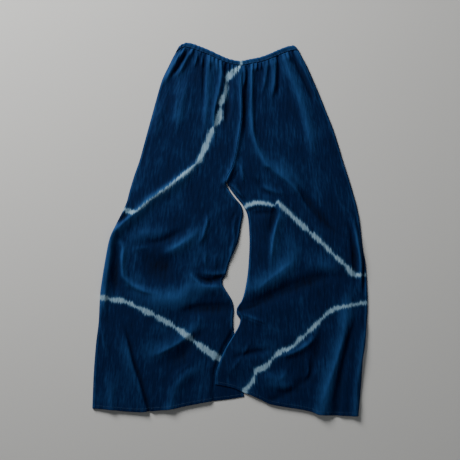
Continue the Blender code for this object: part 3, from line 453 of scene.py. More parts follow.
# Front panels: the two upper halves, gathered under the casing and creased by how they were laid down.
# A fold's path runs along its crest or its bottom. Low and high are the half widths on the side of smaller
# and larger x, or y on a path that runs across. Start and end are the shares of its height at its ends.
Fold = namedtuple("Fold", "leg path height low high start end")
BOTH = "both"
R = "right"
L = "left"
FOLDS = (
    # gathers that the elastic pulls in, from the wearer's right to the centre
    Fold(R, ((-107, 455), (-137, 415), (-150, 390), (-172, 350)), 7, 6, 7, 1, 0),
    Fold(R, ((-100, 452), (-124, 412), (-150, 372)), -5, 4, 4, 1, 0),
    Fold(R, ((-92, 452), (-116, 408), (-132, 376)), 7, 5, 6, 1, 0),
    Fold(R, ((-76, 448), (-84, 420), (-92, 396)), 4.5, 4, 4, 1, 0),
    Fold(R, ((-67, 445), (-70, 415), (-72, 400)), 3.5, 3.5, 3.5, 1, 0),
    Fold(R, ((-62, 445), (-65, 380), (-67, 270)), -5, 4, 5, 1, 0),
    Fold(R, ((-54, 445), (-58, 380), (-61, 300), (-60, 225)), 7, 6, 14, 1, 0),
    Fold(R, ((-45, 440), (-46, 420), (-44, 405)), 3.5, 3.5, 3.5, 1, 0),
    Fold(R, ((-34, 436), (-32, 410), (-28, 382)), 4.5, 5, 5, 1, 0),
    Fold(R, ((-20, 430), (-20, 395), (-27, 345), (-39, 290), (-40, 250), (-30, 196)), 7, 6, 6, 1, 0),
    Fold(R, ((-12, 428), (-10, 400), (-5, 350), (-6, 300), (-14, 235)), -6, 5, 7, 1, 0),
    Fold(R, ((-4, 424), (-4, 405), (-2, 388)), 4, 3.5, 3.5, 1, 0),
    Fold(R, ((8, 420), (7, 402), (8, 386)), 4, 3.5, 3.5, 1, 0),
    Fold(R, ((18, 419), (17, 400), (15, 380)), 3.5, 3.5, 3.5, 1, 0),
    # the centre front seam's ridge, and the hollow beside it
    Fold(BOTH, ((29, 418), (26, 370), (29, 300), (26, 255), (16, 195), (6, 155), (-9, 122)), 6.5, 6, 6, 1, 1),
    Fold(BOTH, ((45, 418), (41, 360), (38, 280), (36, 215)), -6, 5, 5, 0.5, 0),
    # gathers from the centre to the wearer's left, one of them a long fold that sweeps across the thigh
    Fold(L, ((38, 418), (39, 395), (34, 345)), 5, 4, 4, 1, 0),
    Fold(L, ((56, 421), (54, 370), (52, 310), (55, 250), (65, 208), (92, 158)), 7.5, 6, 8, 1, 0.9),
    Fold(L, ((85, 163), (115, 142), (145, 119), (172, 92), (205, 55)), 9, 7, 26, 0.2, 0),
    Fold(L, ((67, 423), (66, 408), (66, 392)), 4, 3.5, 3.5, 1, 0),
    Fold(L, ((78, 427), (77, 410), (76, 394)), 4, 3.5, 3.5, 1, 0),
    Fold(L, ((89, 431), (91, 410), (88, 375), (80, 330)), 5.5, 6, 6, 1, 0),
    Fold(L, ((103, 437), (112, 400), (111, 365), (102, 316)), 7, 8, 5, 1, 0),
    Fold(L, ((118, 443), (122, 400), (121, 360), (116, 310)), -3, 4.5, 4.5, 1, 0),
    Fold(L, ((130, 448), (138, 418), (152, 380), (176, 320), (190, 270), (202, 200),
             (210, 130)), 7, 8, 17, 1, 0),
    Fold(L, ((142, 452), (145, 435), (149, 415)), 3.5, 3.5, 3.5, 1, 0),
    Fold(L, ((150, 452), (168, 410), (196, 350), (212, 300)), -5, 5, 6, 1, 0),
    Fold(L, ((159, 452), (182, 405), (206, 350), (224, 300)), 5.5, 5, 6, 1, 0),
    # the right thigh
    Fold(R, ((-104, 385), (-122, 310), (-134, 230)), 6, 14, 14, 0, 0),
    Fold(R, ((-165, 330), (-182, 270), (-192, 205)), 4, 12, 12, 0, 0),
    # the right knee: a long slanting crest that turns down the side, and a shallow bowl inside it
    Fold(R, ((-46, 212), (-75, 172), (-110, 136), (-155, 104), (-200, 73), (-236, 39), (-262, 17),
             (-280, 1), (-292, -12)), 11, 14, 8, 0.1, 1),
    Fold(R, ((-246, 52), (-264, 33), (-284, 12)), -9, 6, 5, 0, 0),
    Fold(R, ((-286, -4), (-295, -30), (-300, -62), (-306, -110), (-311, -160), (-315, -235)),
         13, 14, 7, 0.8, 0),
    Fold(R, ((-280, -30), (-283, -80), (-286, -125), (-284, -175)), -8, 6, 8, 0, 0),
    Fold(R, ((-278, -18), (-266, -50), (-268, -85), (-265, -115), (-248, -137),
             (-215, -154)), 9, 7, 8, 0, 0.6),
    Fold(R, ((-232, -152), (-190, -172), (-140, -174), (-95, -152), (-60, -140)), 9, 28, 24, 0.3, 0.2),
    Fold(R, ((-235, -70), (-190, -92), (-130, -92)), -6, 30, 24, 0, 0),
    Fold(R, ((-262, -24), (-215, -12), (-165, -6), (-125, 4)), 4.5, 22, 14, 0, 0),
    Fold(R, ((-230, -36), (-180, -32), (-125, -8), (-88, 12)), -3, 9, 9, 0, 0),
    Fold(R, ((-180, -64), (-130, -44), (-98, -22), (-70, 0)), 8, 14, 12, 0, 0.3),
    Fold(R, ((-57, 42), (-57, 15), (-66, -18), (-80, -44)), 7, 6, 8, 0, 0),
    # the pinch in the right inseam
    Fold(R, ((-12, -121), (-30, -125), (-48, -131), (-64, -128), (-92, -108)), -6.5, 5.5, 5.5, 0.8, 0),
    Fold(R, ((-10, -111), (-34, -113), (-58, -111), (-80, -104)), 3.5, 5, 8, 0.8, 0),
    Fold(R, ((-104, -106), (-88, -126), (-64, -143), (-34, -144), (-6, -152)), 8, 18, 7, 0.2, 0.4),
    Fold(R, ((-135, -208), (-70, -197), (6, -194)), -6, 15, 10, 0, 0.6),
    Fold(R, ((27, 42), (12, 24), (8, 0), (12, -24), (4, -52), (-8, -92)), 4, 4.5, 4.5, 0, 0),
    Fold(R, ((-62, -52), (-62, -78), (-57, -102)), 3.5, 5, 5, 0, 0),
    Fold(R, ((-38, -58), (-37, -82), (-40, -106)), 3.5, 5, 5, 0, 0),
    # the right leg's foot
    Fold(R, ((-215, -322), (-150, -294), (-100, -262), (-56, -210)), 6, 14, 16, 0, 0),
    Fold(R, ((-165, -350), (-120, -318), (-85, -272), (-60, -238)), -4, 15, 12, 0, 0),
    Fold(R, ((-266, -225), (-248, -290), (-234, -345), (-219, -385), (-202, -452)), -5, 4.5, 4.5, 0, 1),
    Fold(R, ((-271, -232), (-254, -288), (-241, -342), (-227, -382), (-209, -452)), 5, 17, 3.4, 0, 0.8),
    Fold(R, ((-322, -225), (-316, -270), (-304, -330)), 6, 4, 6, 0, 0),
    Fold(R, ((-74, -332), (-112, -362), (-138, -400), (-150, -447)), 5.5, 12, 14, 0, 1),
    Fold(R, ((-306, -350), (-296, -400), (-296, -449)), 4, 10, 10, 0, 1),
    # the left thigh and knee
    Fold(L, ((118, 158), (160, 118), (200, 62), (240, 12), (276, -36)), -7, 7, 9, 0, 0),
    Fold(L, ((60, 112), (98, 98), (150, 82)), 5, 9, 9, 0, 0),
    Fold(L, ((64, 132), (84, 96), (112, 74)), -5, 7, 7, 0, 0),
    Fold(L, ((38, 50), (70, 60), (100, 56), (124, 52)), 4.5, 5, 9, 0.8, 0.3),
    Fold(L, ((50, 38), (80, 40), (112, 38)), -3, 8, 6, 0, 0.5),
    Fold(L, ((122, 72), (124, 40), (114, 5), (106, -40), (98, -108)), 8, 5, 14, 0.3, 0),
    Fold(L, ((114, 54), (108, 22), (98, -22)), -5, 8, 6, 0, 0),
    Fold(L, ((14, 172), (30, 146), (33, 112)), 4, 5, 5, 0, 0),
    Fold(L, ((2, 116), (16, 96), (36, 74)), 4, 4, 4, 0, 0),
    # the left calf, with the notch in its inseam and the pleats down its side
    Fold(L, ((36, -156), (72, -142), (108, -124), (145, -98), (186, -54)), 9, 18, 28, 0.4, 0),
    Fold(L, ((176, -82), (230, -92), (292, -98)), 4, 18, 18, 0, 0),
    Fold(L, ((20, -198), (60, -188), (100, -170), (150, -148), (220, -124),
             (300, -114)), -5.5, 14, 14, 0.8, 0),
    Fold(L, ((18, -208), (46, -220), (98, -236)), 5, 8, 6, 0.6, 0),
    Fold(L, ((290, 62), (306, 20), (319, -40), (327, -95), (327, -172)), 8, 5, 5, 0, 0),
    Fold(L, ((296, 26), (306, -25), (312, -85), (314, -150)), -8, 5, 5, 0, 0),
    Fold(L, ((324, -20), (333, -70), (334, -125), (332, -182)), -6, 3.5, 3.5, 0, 0),
    # the left leg's foot
    Fold(L, ((296, -120), (291, -190), (286, -250), (268, -320), (246, -390),
             (226, -463)), 8.5, 18, 16, 0, 1),
    Fold(L, ((322, -192), (308, -235), (288, -305), (272, -390), (264, -465)), -5.5, 9, 9, 0, 1),
    Fold(L, ((336, -215), (328, -310), (316, -400), (312, -466)), 7, 9, 7, 0, 1),
    Fold(L, ((230, -245), (214, -315), (196, -365), (165, -396), (120, -422)), -5, 12, 12, 0, 0.6),
    Fold(L, ((110, -322), (160, -306), (200, -282), (232, -236)), 7, 8, 8, 0, 0),
    Fold(L, ((189, -318), (196, -350), (182, -388)), 5, 7, 6, 0, 0),
    Fold(L, ((100, -350), (120, -380), (152, -410)), 5, 30, 30, 0, 0),
    Fold(L, ((112, -300), (50, -310), (-6, -326)), -4, 8, 8, 0, 0),
)
# thin creases: the lips of the large folds, and the small sharp lines between them
CREASES = (
    Fold(R, ((-75, 172), (-110, 140), (-155, 105), (-200, 73), (-236, 41), (-264, 17), (-290, -8)),
         3.2, 3.4, 3.4, 0.3, 1),
    Fold(R, ((-298, -20), (-308, -60), (-314, -110), (-318, -170)), 2.2, 5, 5, 0, 0),
    Fold(R, ((-277, -18), (-266, -55), (-268, -85), (-264, -118), (-246, -138)), 2.4, 3, 3, 0, 0),
    Fold(R, ((-57, 42), (-58, 20), (-66, -10), (-74, -36)), 3, 3.4, 2.6, 0, 0),
    Fold(R, ((-48, 30), (-52, 8), (-58, -14)), -2, 3, 3, 0, 0),
    Fold(R, ((-265, -234), (-249, -288), (-236, -338), (-222, -378), (-203, -447)), -4, 2.6, 2.6, 0, 0.6),
    Fold(R, ((-240, -385), (-226, -415), (-212, -449)), -2, 2.4, 2.4, 0, 0.8),
    Fold(R, ((-318, -232), (-312, -280), (-303, -330)), -2, 2.6, 2.6, 0, 0),
    Fold(R, ((-252, -60), (-226, -48), (-196, -46)), 1.6, 6, 5, 0, 0),
    Fold(R, ((-150, -52), (-128, -40), (-104, -22)), 1.8, 4, 4, 0, 0),
    Fold(R, ((-88, -68), (-86, -86), (-80, -104)), 1.8, 3.4, 3.4, 0, 0),
    Fold(R, ((-30, 60), (-34, 30), (-36, 4)), 1.8, 4, 4, 0, 0),
    Fold(R, ((22, 52), (6, 26), (2, -4), (5, -30)), -2, 3, 3, 0, 0),
    Fold(R, ((-12, 108), (0, 88), (15, 69), (24, 55)), 2.6, 2.4, 2.4, 0.6, 0),
    Fold(R, ((-12, 92), (-2, 76), (6, 62)), -1.8, 2.4, 2.4, 0, 0),
    Fold(L, ((10, 158), (1, 140), (-5, 124)), 2.8, 3, 3, 0, 0.8),
    Fold(L, ((20, 150), (13, 132), (9, 116)), -2, 3, 3, 0, 0),
    Fold(L, ((11, 118), (17, 101), (29, 84), (38, 66)), 2.8, 2.6, 2.6, 0.2, 0),
    Fold(L, ((27, 164), (31, 132), (33, 104)), 3, 2.6, 2.6, 0, 0),
    Fold(L, ((36, 152), (40, 122), (46, 96)), 1.8, 3, 3, 0, 0),
    Fold(L, ((19, 118), (26, 102), (34, 88)), -2.2, 2.4, 2.4, 0, 0),
    Fold(R, ((-13, 160), (-2, 136), (4, 108)), 2.2, 3, 3, 0.2, 0),
    Fold(R, ((-30, 152), (-22, 122), (-12, 96)), 1.6, 4, 4, 0, 0),
    Fold(R, ((-58, -126), (-50, -130), (-40, -131)), -3, 3.4, 3.4, 0, 0),
    Fold(R, ((-48, -124), (-41, -131), (-37, -139)), 3, 2.4, 2.4, 0, 0),
    Fold(R, ((-100, -108), (-90, -124), (-74, -137)), 2, 3.4, 3.4, 0, 0),
    Fold(R, ((-200, -320), (-158, -300), (-120, -278), (-92, -250)), 2.2, 4, 4, 0, 0),
    Fold(R, ((-160, -402), (-142, -372), (-112, -344), (-84, -330)), 1.8, 5, 5, 0, 0),
    Fold(R, ((-125, 385), (-132, 330), (-138, 262)), 1.8, 4, 4, 0, 0),
    Fold(R, ((-92, 350), (-100, 290), (-104, 232)), 1.4, 5, 5, 0, 0),
    Fold(R, ((-30, 350), (-38, 300), (-47, 252)), 1.8, 3, 3, 0, 0),
    Fold(R, ((8, 372), (6, 330), (7, 280)), 2, 4, 4, 0.4, 0),
    Fold(BOTH, ((27, 400), (28, 345), (29, 300), (26, 255), (17, 200)), 2.2, 2.6, 2.6, 0.6, 0),
    Fold(BOTH, ((34, 345), (35, 300), (33, 255)), -2.4, 3, 3, 0, 0),
    Fold(L, ((53, 412), (55, 330), (57, 252), (65, 215), (80, 186), (98, 158)), 2.2, 3, 3, 0.6, 0),
    Fold(L, ((146, 124), (169, 98), (201, 55), (231, 24), (266, -12), (290, -36)), -3, 3, 3, 0, 0),
    Fold(L, ((82, 350), (80, 300), (84, 250)), 1.6, 4, 4, 0, 0),
    Fold(L, ((150, 360), (170, 318), (182, 268), (194, 200)), 1.8, 4, 4, 0, 0),
    Fold(L, ((123, 62), (119, 32), (111, -5), (104, -50), (100, -98)), 3.2, 2.8, 4, 0, 0),
    Fold(L, ((110, 60), (107, 40), (104, 18)), -2, 3.4, 3.4, 0, 0),
    Fold(L, ((104, 132), (124, 102), (140, 82)), 1.8, 4, 4, 0, 0),
    Fold(L, ((128, 118), (146, 100), (166, 78)), 1.6, 4, 4, 0, 0),
    Fold(L, ((300, 62), (311, 20), (321, -35), (326, -90), (328, -155)), 2.6, 2.8, 2.8, 0, 0),
    Fold(L, ((318, 20), (329, -30), (333, -80), (333, -150)), -2.6, 2.2, 2.2, 0, 0),
    Fold(L, ((256, 130), (270, 76), (290, 38), (302, 0)), 1.8, 4, 4, 0, 0),
    Fold(L, ((338, -196), (339, -270), (333, -345)), 1.8, 2.4, 2.4, 0, 0),
    Fold(L, ((60, -158), (92, -130), (128, -104), (166, -72)), 2.4, 5, 5, 0, 0),
    Fold(L, ((24, -214), (52, -224), (96, -240)), -2, 2.6, 2.6, 0.4, 0),
    Fold(L, ((18, -203), (60, -193), (78, -181), (130, -156)), -2.4, 3, 3, 0.6, 0),
    Fold(L, ((288, -212), (284, -255), (270, -312), (250, -372), (228, -440)), 2.2, 4, 4, 0, 0),
    Fold(L, ((205, -300), (214, -345), (206, -384)), 1.8, 4, 4, 0, 0),
    Fold(L, ((150, -330), (136, -362), (112, -388)), 1.6, 5, 5, 0, 0),
    Fold(L, ((58, -262), (40, -300), (16, -336), (-10, -372)), 2, 5, 5, 0, 0),
    Fold(L, ((240, -410), (232, -440), (228, -462)), -1.8, 3, 3, 0, 0.6),
    Fold(L, ((316, -410), (318, -440), (318, -464)), 2, 3, 3, 0, 0.8),
)
# short pleats that start in the casing's seam: where, how far the foot lies to one side, how long, how high
Pleat = namedtuple("Pleat", "x lean length height")
PLEATS = tuple(Pleat(*row) for row in ((-121, -20, 46, 2.4), (-112, -17, 34, 2.2),
                                       (-101, -17, 52, 2.6), (-92, -8, 30, 2.4), (-82, -6, 44, 2.6),
                                       (-73, -3, 26, 2.6), (-63, -1, 36, 2.4), (-50, -2, 48, 2.6),
                                       (-41, 0, 28, 2.8), (-32, 1, 40, 2.6), (-22, -1, 30, 2.8),
                                       (-13, 1, 24, 2.6), (-3, 1, 34, 2.8), (7, 0, 26, 2.6),
                                       (16, -1, 30, 2.4), (25, 0, 22, 2.4), (36, -1, 40, 2.6),
                                       (46, 0, 24, 2.4), (56, 0, 36, 2.6), (66, 0, 26, 2.8),
                                       (76, 1, 38, 2.6), (85, 2, 24, 2.8), (94, 3, 34, 2.6),
                                       (104, 4, 46, 2.6), (114, 4, 26, 2.6), (124, 6, 38, 2.6),
                                       (134, 8, 28, 2.6), (143, 10, 42, 2.4), (152, 14, 30, 2.4)))
FOLD_FADE = 0.38
FOLD_POWER = 1.7
FOLD_END = 8.0
LOFT = 4.0
LOFT_RUN = 14.0
CREST = 17.0
HEM_TURN = 8.0
HEM_RAISE = 0.5
SEAM_RIDGE = 1.3            # the turned-in seam allowance makes a low ridge beside each outseam and inseam
SEAM_IN = 4.2
SEAM_HALF = 2.2
LIE = 2.9                   # the outer face's lowest level: two cloths, and the air between them
PRESSED = 1.0               # and how much lower it lies where the legs cross
PLEAT_HALF = 2.3            # a pleat's half width at the casing
PLEAT_WIDEN = 2.2           # and how much it widens to its foot
PLEAT_SCALE = 1.4
RIPPLES = ((0.32, 3, 13, 75), (0.2, 7, 6.5, 40))    # height, seed, mm across and mm along
SEWN_AWAY = 400.0           # the centre seam holds nothing down, as if the inner edge were this far off
SEWN_FROM = 20.0            # this starts so far under the crotch
SEWN_RUN = 60.0
CREST_SOFT = 2.0            # square mm: how softly a hollow's bottom meets the flat lie
SEAM_HELD = 0.45            # the share of the folds' height that is left at the waist seam
SEAM_RUN = 18.0             # and how far down the folds reach their full height
HEM_STEP = 1.2              # width of the step that the turned hem makes
UNDER_PRESS = 0.97          # how flat the right leg is pressed under the left one
CORNER_PRESS = 0.95         # how flat the left leg's hem corner lies
CORNER = (62.0, -345.0)     # where that corner's flat part starts
CORNER_RUN = 36.0


def fold_height(fold, x, y):
    """What one fold adds at the places x, y."""
    path = np.array(fold.path, float)
    span = np.abs(path[-1] - path[0])
    run = 1 if span[1] >= span[0] else 0
    along, across = (y, x) if run else (x, y)
    middle, lean = curve([(p[run], p[1 - run]) for p in fold.path], along)
    off = (across - middle) / np.sqrt(1 + lean**2)
    first, last = path[0, run], path[-1, run]
    t = (along - first) / (last - first)
    past = np.maximum(np.abs(t - 0.5) - 0.5, 0) * abs(last - first)
    head = fold.start + (1 - fold.start) * step(t / FOLD_FADE)
    tail = fold.end + (1 - fold.end) * step((1 - t) / FOLD_FADE)
    width = np.where(off < 0, fold.low, fold.high)
    return fold.height * head * tail * np.exp(-(np.abs(off) / width) ** FOLD_POWER - (past / FOLD_END) ** 2)


def pleats(x, y):
    """The short pleats under the casing, deepest at its seam."""
    down = waist_seam(x) - y
    height = np.zeros(x.shape)
    for pleat in PLEATS:
        t = np.clip(down / pleat.length, 0, 1)
        off = (x - pleat.x - pleat.lean * t) / (PLEAT_HALF + PLEAT_WIDEN * t)
        height += PLEAT_SCALE * pleat.height * (1 - step(t)) * np.exp(-off**2)
    return height


def relief(leg, x, y):
    """The folds over the flat lie of the front cloth, before the edges hold them down."""
    height = np.zeros(x.shape)
    for fold in FOLDS + CREASES:
        if fold.leg in (leg.name, BOTH):
            height = height + fold_height(fold, x, y)
    for high, seed, across, along in RIPPLES:
        height = height + high * ripple(x, y, seed + leg.side, across, along)
    return height


def edges_near(leg, x, y):
    """How far in a place lies from the outseam, and from the inseam, which fades out up the centre seam."""
    outer = np.abs(x - line(leg.outseam, y))
    away = SEWN_AWAY * step((y - CROTCH + SEWN_FROM) / SEWN_RUN)
    return outer, np.abs(inner_edge(leg, y) - x) + away


def seam_ridges(leg, x, y):
    """0 to 1: the low ridges that the seam allowances make beside the outseam and the inseam."""
    outer, inner = edges_near(leg, x, y)
    return np.exp(-((outer - SEAM_IN) / SEAM_HALF) ** 2) + np.exp(-((inner - SEAM_IN) / SEAM_HALF) ** 2)


def rise(leg, x, y):
    """How far the front cloth stands over its flat lie on the back panel."""
    outer, inner = edges_near(leg, x, y)
    height = LOFT * (1 - np.exp(-outer / LOFT_RUN)) * (1 - np.exp(-inner / LOFT_RUN)) + relief(leg, x, y)
    height = CREST * np.tanh((height + np.sqrt(height**2 + CREST_SOFT)) / (2 * CREST))
    held = SEAM_HELD + (1 - SEAM_HELD) * step((waist_seam(x) - y) / SEAM_RUN)
    height = height * held + pleats(x, y)
    height = height + HEM_RAISE * step((HEM_TURN + HEM_STEP - (y - line(leg.hem, x))) / HEM_STEP)
    height = height + SEAM_RIDGE * seam_ridges(leg, x, y)
    if leg.side < 0:
        return height * (1 - UNDER_PRESS * crossed(leg, x, y))
    flat = CORNER_PRESS * step((CORNER[0] - x) / CORNER_RUN) * step((CORNER[1] - y) / CORNER_RUN)
    return height * (1 - flat)


# Running stitches of indigo cotton thread hold the hems up and close the casing under the elastic.
STITCH = 2.3                # mm long
STITCH_PITCH = 3.6          # from one stitch to the next
STITCH_RADIUS = 0.28
THREAD = bpy.data.materials.new("indigo_cotton_thread")
THREAD.use_nodes = True
THREAD.node_tree.nodes["Principled BSDF"].inputs["Base Color"].default_value = colour("#1D4468")
THREAD.node_tree.nodes["Principled BSDF"].inputs["Roughness"].default_value = 0.7


def stitches(name, points):
    """A row of stitches, one at each place along a line of (x, y, z) points."""
    bm = bmesh.new()
    way = np.concatenate(([0], np.cumsum(np.linalg.norm(np.diff(points, axis=0), axis=1))))
    for at in np.arange(STITCH_PITCH, way[-1] - STITCH_PITCH, STITCH_PITCH):
        ends = [Vector([np.interp(at + d, way, points[:, i]) for i in range(3)]) for d in (0, STITCH)]
        turn = (ends[1] - ends[0]).to_track_quat("Z", "Y").to_matrix().to_4x4()
        turn.translation = (ends[0] + ends[1]) / 2 * MM
        bmesh.ops.create_cone(bm, cap_ends=True, segments=6, radius1=STITCH_RADIUS * MM, matrix=turn,
                              radius2=STITCH_RADIUS * MM, depth=STITCH * MM)
    mesh = bpy.data.meshes.new(name)
    bm.to_mesh(mesh)
    bm.free()
    mesh.materials.append(THREAD)
    row = bpy.data.objects.new(name, mesh)
    bpy.context.scene.collection.objects.link(row)
    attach(row, "root")
    return row


FRONT_COLUMNS = 150
FRONT_ROWS = 300
HEM_STITCH_UP = 7.0         # how far above the hem its stitches run
LEG_LENGTH = 850.0          # roughly, from the waist seam to the hem
THREAD_OUT = 0.1            # how far a stitch's middle stands out of the cloth
TURN = 2.6                  # how far in an outseam or inseam turns down
TURN_COLUMNS = 7
CENTRE_TURN = 1.2           # how far in the sewn centre edge dips into its seam
HEM_ROWS = 4
EDGE_WEAR_AND_HIGHLIGHT = 0.8                  # how much paler a turned edge is: part wear, part painted highlight
SEAM_WEAR_AND_HIGHLIGHT = 0.3             # and a seam allowance's ridge, also part wear and part painted highlight
EDGE_LOW = 0.85             # how low a turned edge's outer face comes
SEWN_DIP = 0.25             # how far down the sewn centre edge dips, as a share of its height
HEM_ROLL = 0.9              # how far the hem's fold rolls past its line
HEM_DROP = 1.2              # and how far down it turns
FOLD_PAINTED_LIGHT = 0.045         # painted light: how much paler a fold's crest is painted for each mm of its height, and a hollow darker
RELIEF_LIMITS = (-6, 9)     # mm, below and above which it gets no darker or paler


def edge_columns(column):
    """0 to 1 over the columns that turn an edge down, and how far in from the edge they lie."""
    share = np.clip(column / TURN_COLUMNS, 0, 1)
    return np.sin(share * np.pi / 2), 1 - np.cos(share * np.pi / 2)


def front_place(leg, column, row):
    """The x, y, z of the front cloth's points, and how pale they are: painted light on the folds, and edges
    paler from wear and painted highlight.
    """
    main = FRONT_ROWS - HEM_ROWS
    share = np.clip(row / main, 0, 1)
    up_outer, in_outer = edge_columns(column)
    up_inner, in_inner = edge_columns(FRONT_COLUMNS - column)
    across = np.clip((column - TURN_COLUMNS) / (FRONT_COLUMNS - 2 * TURN_COLUMNS), 0, 1)
    bend = turned(panel_place(leg, share, 0.0, 0.0, 0.5)[2])
    x, y, _ = panel_place(leg, share, TURN * in_outer,
                          (bend * TURN + (1 - bend) * CENTRE_TURN) * in_inner, across)
    height = LIE - PRESSED * crossed(leg, x, y) + rise(leg, x, y)
    up_inner = bend * up_inner + (1 - bend) * (1 - SEWN_DIP * (1 - up_inner))
    up = up_outer * up_inner
    hem = np.clip((row - main) / HEM_ROWS, 0, 1) * np.pi / 2
    y = y - HEM_ROLL * np.sin(hem)
    z = EDGE_LOW + up * (height - EDGE_LOW) - np.minimum(HEM_DROP, up * HEM_DROP) * (1 - np.cos(hem))
    # Painted light: fold crests painted paler and hollows darker by their height; turned edges paler, part
    # wear and part painted highlight.
    crest = FOLD_PAINTED_LIGHT * np.clip(relief(leg, x, y), *RELIEF_LIMITS) * up + EDGE_WEAR_AND_HIGHLIGHT * (1 - up)
    # Seam ridges are paler too, part wear and part painted highlight.
    crest = crest + SEAM_WEAR_AND_HIGHLIGHT * seam_ridges(leg, x, y)
    return x, y, lift(leg, x, y) + z, crest


for leg in (RIGHT, LEFT):
    piece = cloth_sheet("front_" + leg.name + "_cloth", leg, FRONT_COLUMNS, FRONT_ROWS, front_place, COTTON,
                        RESIST_FRONT[leg.name])
    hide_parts("front_" + leg.name)
    at = np.arange(TURN_COLUMNS + 1.0, FRONT_COLUMNS - TURN_COLUMNS)
    hem_row = (FRONT_ROWS - HEM_ROWS) * (1 - HEM_STITCH_UP / LEG_LENGTH) * np.ones(len(at))
    x, y, z, _ = front_place(leg, at, hem_row)
    stitches("hem_stitches_" + leg.name,
                                     np.stack((x, y - MIDDLE_Y, z + THREAD_OUT), 1))

# Waist casing: a strip of the same cotton folded over a flat elastic, sewn on round the top.
# The elastic draws it in, so it puckers finely, and each pucker starts a gather below it.
CASING_THICK = 3.3
CASING_STATIONS = 420
CASING_RING = 40
CASING_PROFILE = ((0, 0), (0.03, 0.5), (0.1, 0.88), (0.22, 1.0), (0.36, 0.96), (0.48, 0.78), (0.55, 0.66),
                  (0.62, 0.74), (0.74, 0.86), (0.86, 0.8), (0.95, 0.45), (1.0, 0.0))
PUCKERS = 27
PUCKER_DRIFT = ((0.35, 9), (0.2, 31))       # uneven spacing: how far, and how quickly it changes
CASING_INSET = 3.0          # how far inside the front half's ends the back half ends
CASING_CREST = 0.18         # how pale the casing is
RIM_PAINTED_HIGHLIGHT = 0.7             # and how much paler the painted highlight along the rolled rim at its top edge
RIM_DOWN = 1.4              # mm from the top edge to the rim's middle
RIM_HALF = 2.2
CASING_STITCH_ROW = 13      # the row of the ring that the stitches run along, above its lower edge
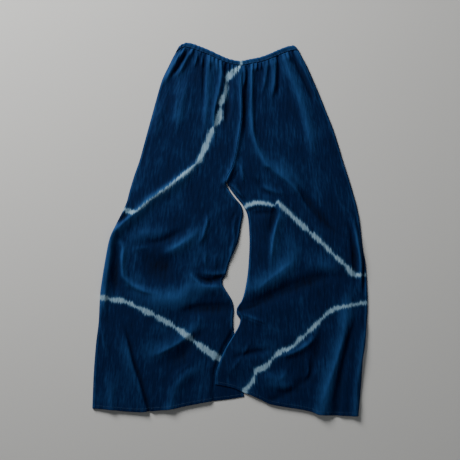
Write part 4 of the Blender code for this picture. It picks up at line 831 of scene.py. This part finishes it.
for side, low_z in (("front", 3.9), ("back", 0.1)):
    bm = bmesh.new()
    bmesh.ops.create_grid(bm, x_segments=CASING_STATIONS, y_segments=CASING_RING, size=0.5)
    share = np.array([v.co.x + 0.5 for v in bm.verts])
    ring = np.array([v.co.y + 0.5 for v in bm.verts])
    width = WAIST[-1][0] - WAIST[0][0]
    inset = 0.0 if side == "front" else CASING_INSET
    share_in = inset / width + share * (1 - 2 * inset / width)
    end = np.minimum(share_in, 1 - share_in) * width
    upper_x = WAIST[0][0] + share_in * width
    low, high = waist_ends()
    lower_x = low + share_in * (high - low)
    phase = PUCKERS * share_in
    for drift, turns in PUCKER_DRIFT:
        phase = phase + drift * np.sin(turns * share_in)
    pucker = np.sin(2 * np.pi * phase) * (0.7 + 0.3 * np.sin(47 * share_in)) * step((end - 2) / 6)
    angle = 2 * np.pi * ring
    squash = np.abs(np.cos(angle)) ** 0.6 * np.sign(np.cos(angle))
    t = 0.5 - 0.5 * squash
    top = np.sin(angle)
    wrap = step((3.2 - end) / 2.2) if side == "front" else np.zeros(len(end))
    low_here = low_z * (1 - wrap) + 0.3 * wrap
    high_here = low_z + CASING_THICK - (CASING_THICK + 0.6) * (1 - np.sqrt(np.clip(end / 3.5, 0, 1)))
    if side == "back":
        high_here = np.full(len(end), low_z + CASING_THICK)
    middle = (low_here + high_here) / 2
    half = (high_here - low_here) / 2
    plump = np.abs(top) ** 0.55 * np.sign(top)
    z = middle + half * np.where(top > 0, line(CASING_PROFILE, t), plump)
    z = z + 0.6 * pucker * np.clip(top, 0, 1) * (side == "front")
    x = upper_x + t * (lower_x - upper_x)
    y = line(WAIST, upper_x) - t * CASING + 0.55 * pucker * step(1 - 2 * t)
    for vert, point in zip(bm.verts, np.stack((x, y - MIDDLE_Y, z), 1) * MM):
        vert.co = point
    if side == "front":
        sewn = np.where(np.rint(ring * CASING_RING) == CASING_STITCH_ROW)[0]
        sewn = sewn[np.argsort(share[sewn])]
        casing_thread = stitches("casing_stitches", np.stack((x, y - MIDDLE_Y, z + THREAD_OUT), 1)[sewn])
    uv = bm.loops.layers.uv.new("cloth")
    bm.verts.index_update()
    for face in bm.faces:
        for loop in face.loops:
            i = loop.vert.index
            loop[uv].uv = (share_in[i] * 0.62, ring[i] * 0.034)
    name = "waist_casing_" + side + "_cloth"
    mesh = bpy.data.meshes.new(name)
    bmesh.ops.remove_doubles(bm, verts=bm.verts, dist=0.000002)
    caps = [e for e in bm.edges if e.is_boundary]
    bmesh.ops.holes_fill(bm, edges=caps, sides=CASING_RING + 2)
    bmesh.ops.recalc_face_normals(bm, faces=bm.faces)
    bm.to_mesh(mesh)
    bm.free()
    mesh.shade_smooth()
    points = np.array([tuple(v.co) for v in mesh.vertices]) / MM
    lines = RESIST_FRONT["right"][:1] if side == "front" else RESIST_BACK["right"][:1]
    mesh.attributes.new("resist", "FLOAT_VECTOR", "POINT").data.foreach_set(
        "vector", resist(points[:, 0], points[:, 1] + MIDDLE_Y, lines).ravel())
    # Painted highlight: a pale band where the rim's roll catches the light.
    rim = np.exp(-((line(WAIST, points[:, 0]) - points[:, 1] - MIDDLE_Y - RIM_DOWN) / RIM_HALF) ** 2)
    mesh.attributes.new("crest", "FLOAT", "POINT").data.foreach_set("value", CASING_CREST + RIM_PAINTED_HIGHLIGHT * rim)
    mesh.materials.append(COTTON if side == "front" else COTTON_BACK_SHADED)
    casing = bpy.data.objects.new(name, mesh)
    bpy.context.scene.collection.objects.link(casing)
    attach(casing, "root")
    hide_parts("waist_casing_" + side)

# A plain pale floor, wide enough for every view.
floor_mesh = bpy.data.meshes.new("floor")
bm = bmesh.new()
bmesh.ops.create_grid(bm, x_segments=1, y_segments=1, size=4.0)
bm.to_mesh(floor_mesh)
bm.free()
floor = bpy.data.objects.new("floor", floor_mesh)
bpy.context.scene.collection.objects.link(floor)
paper = bpy.data.materials.new("matt_pale_paper")
paper.use_nodes = True
paper.node_tree.nodes["Principled BSDF"].inputs["Base Color"].default_value = colour("#D9D8D4")
paper.node_tree.nodes["Principled BSDF"].inputs["Roughness"].default_value = 0.9
floor_mesh.materials.append(paper)

# Soft studio light: a large key from the upper left, low enough to rake the folds, and a weak fill.
def area_light(name, place, size, power, aim=(0.0, 0.0, 0.0)):
    """A round soft light, so many metres wide, turned from its place towards aim."""
    data = bpy.data.lights.new(name, "AREA")
    data.shape = "DISK"
    data.size = size
    data.energy = power
    light = bpy.data.objects.new(name, data)
    light.location = place
    light.rotation_euler = (Vector(aim) - Vector(place)).to_track_quat("-Z", "Y").to_euler()
    bpy.context.scene.collection.objects.link(light)


area_light("key", (-1.45, 2.05, 1.35), 1.3, 112)
area_light("fill", (1.2, -0.6, 2.2), 2.0, 5)
world = bpy.data.worlds.new("studio")
world.use_nodes = True
world.node_tree.nodes["Background"].inputs["Color"].default_value = colour("#C9D3DD")
world.node_tree.nodes["Background"].inputs["Strength"].default_value = 0.08
bpy.context.scene.world = world
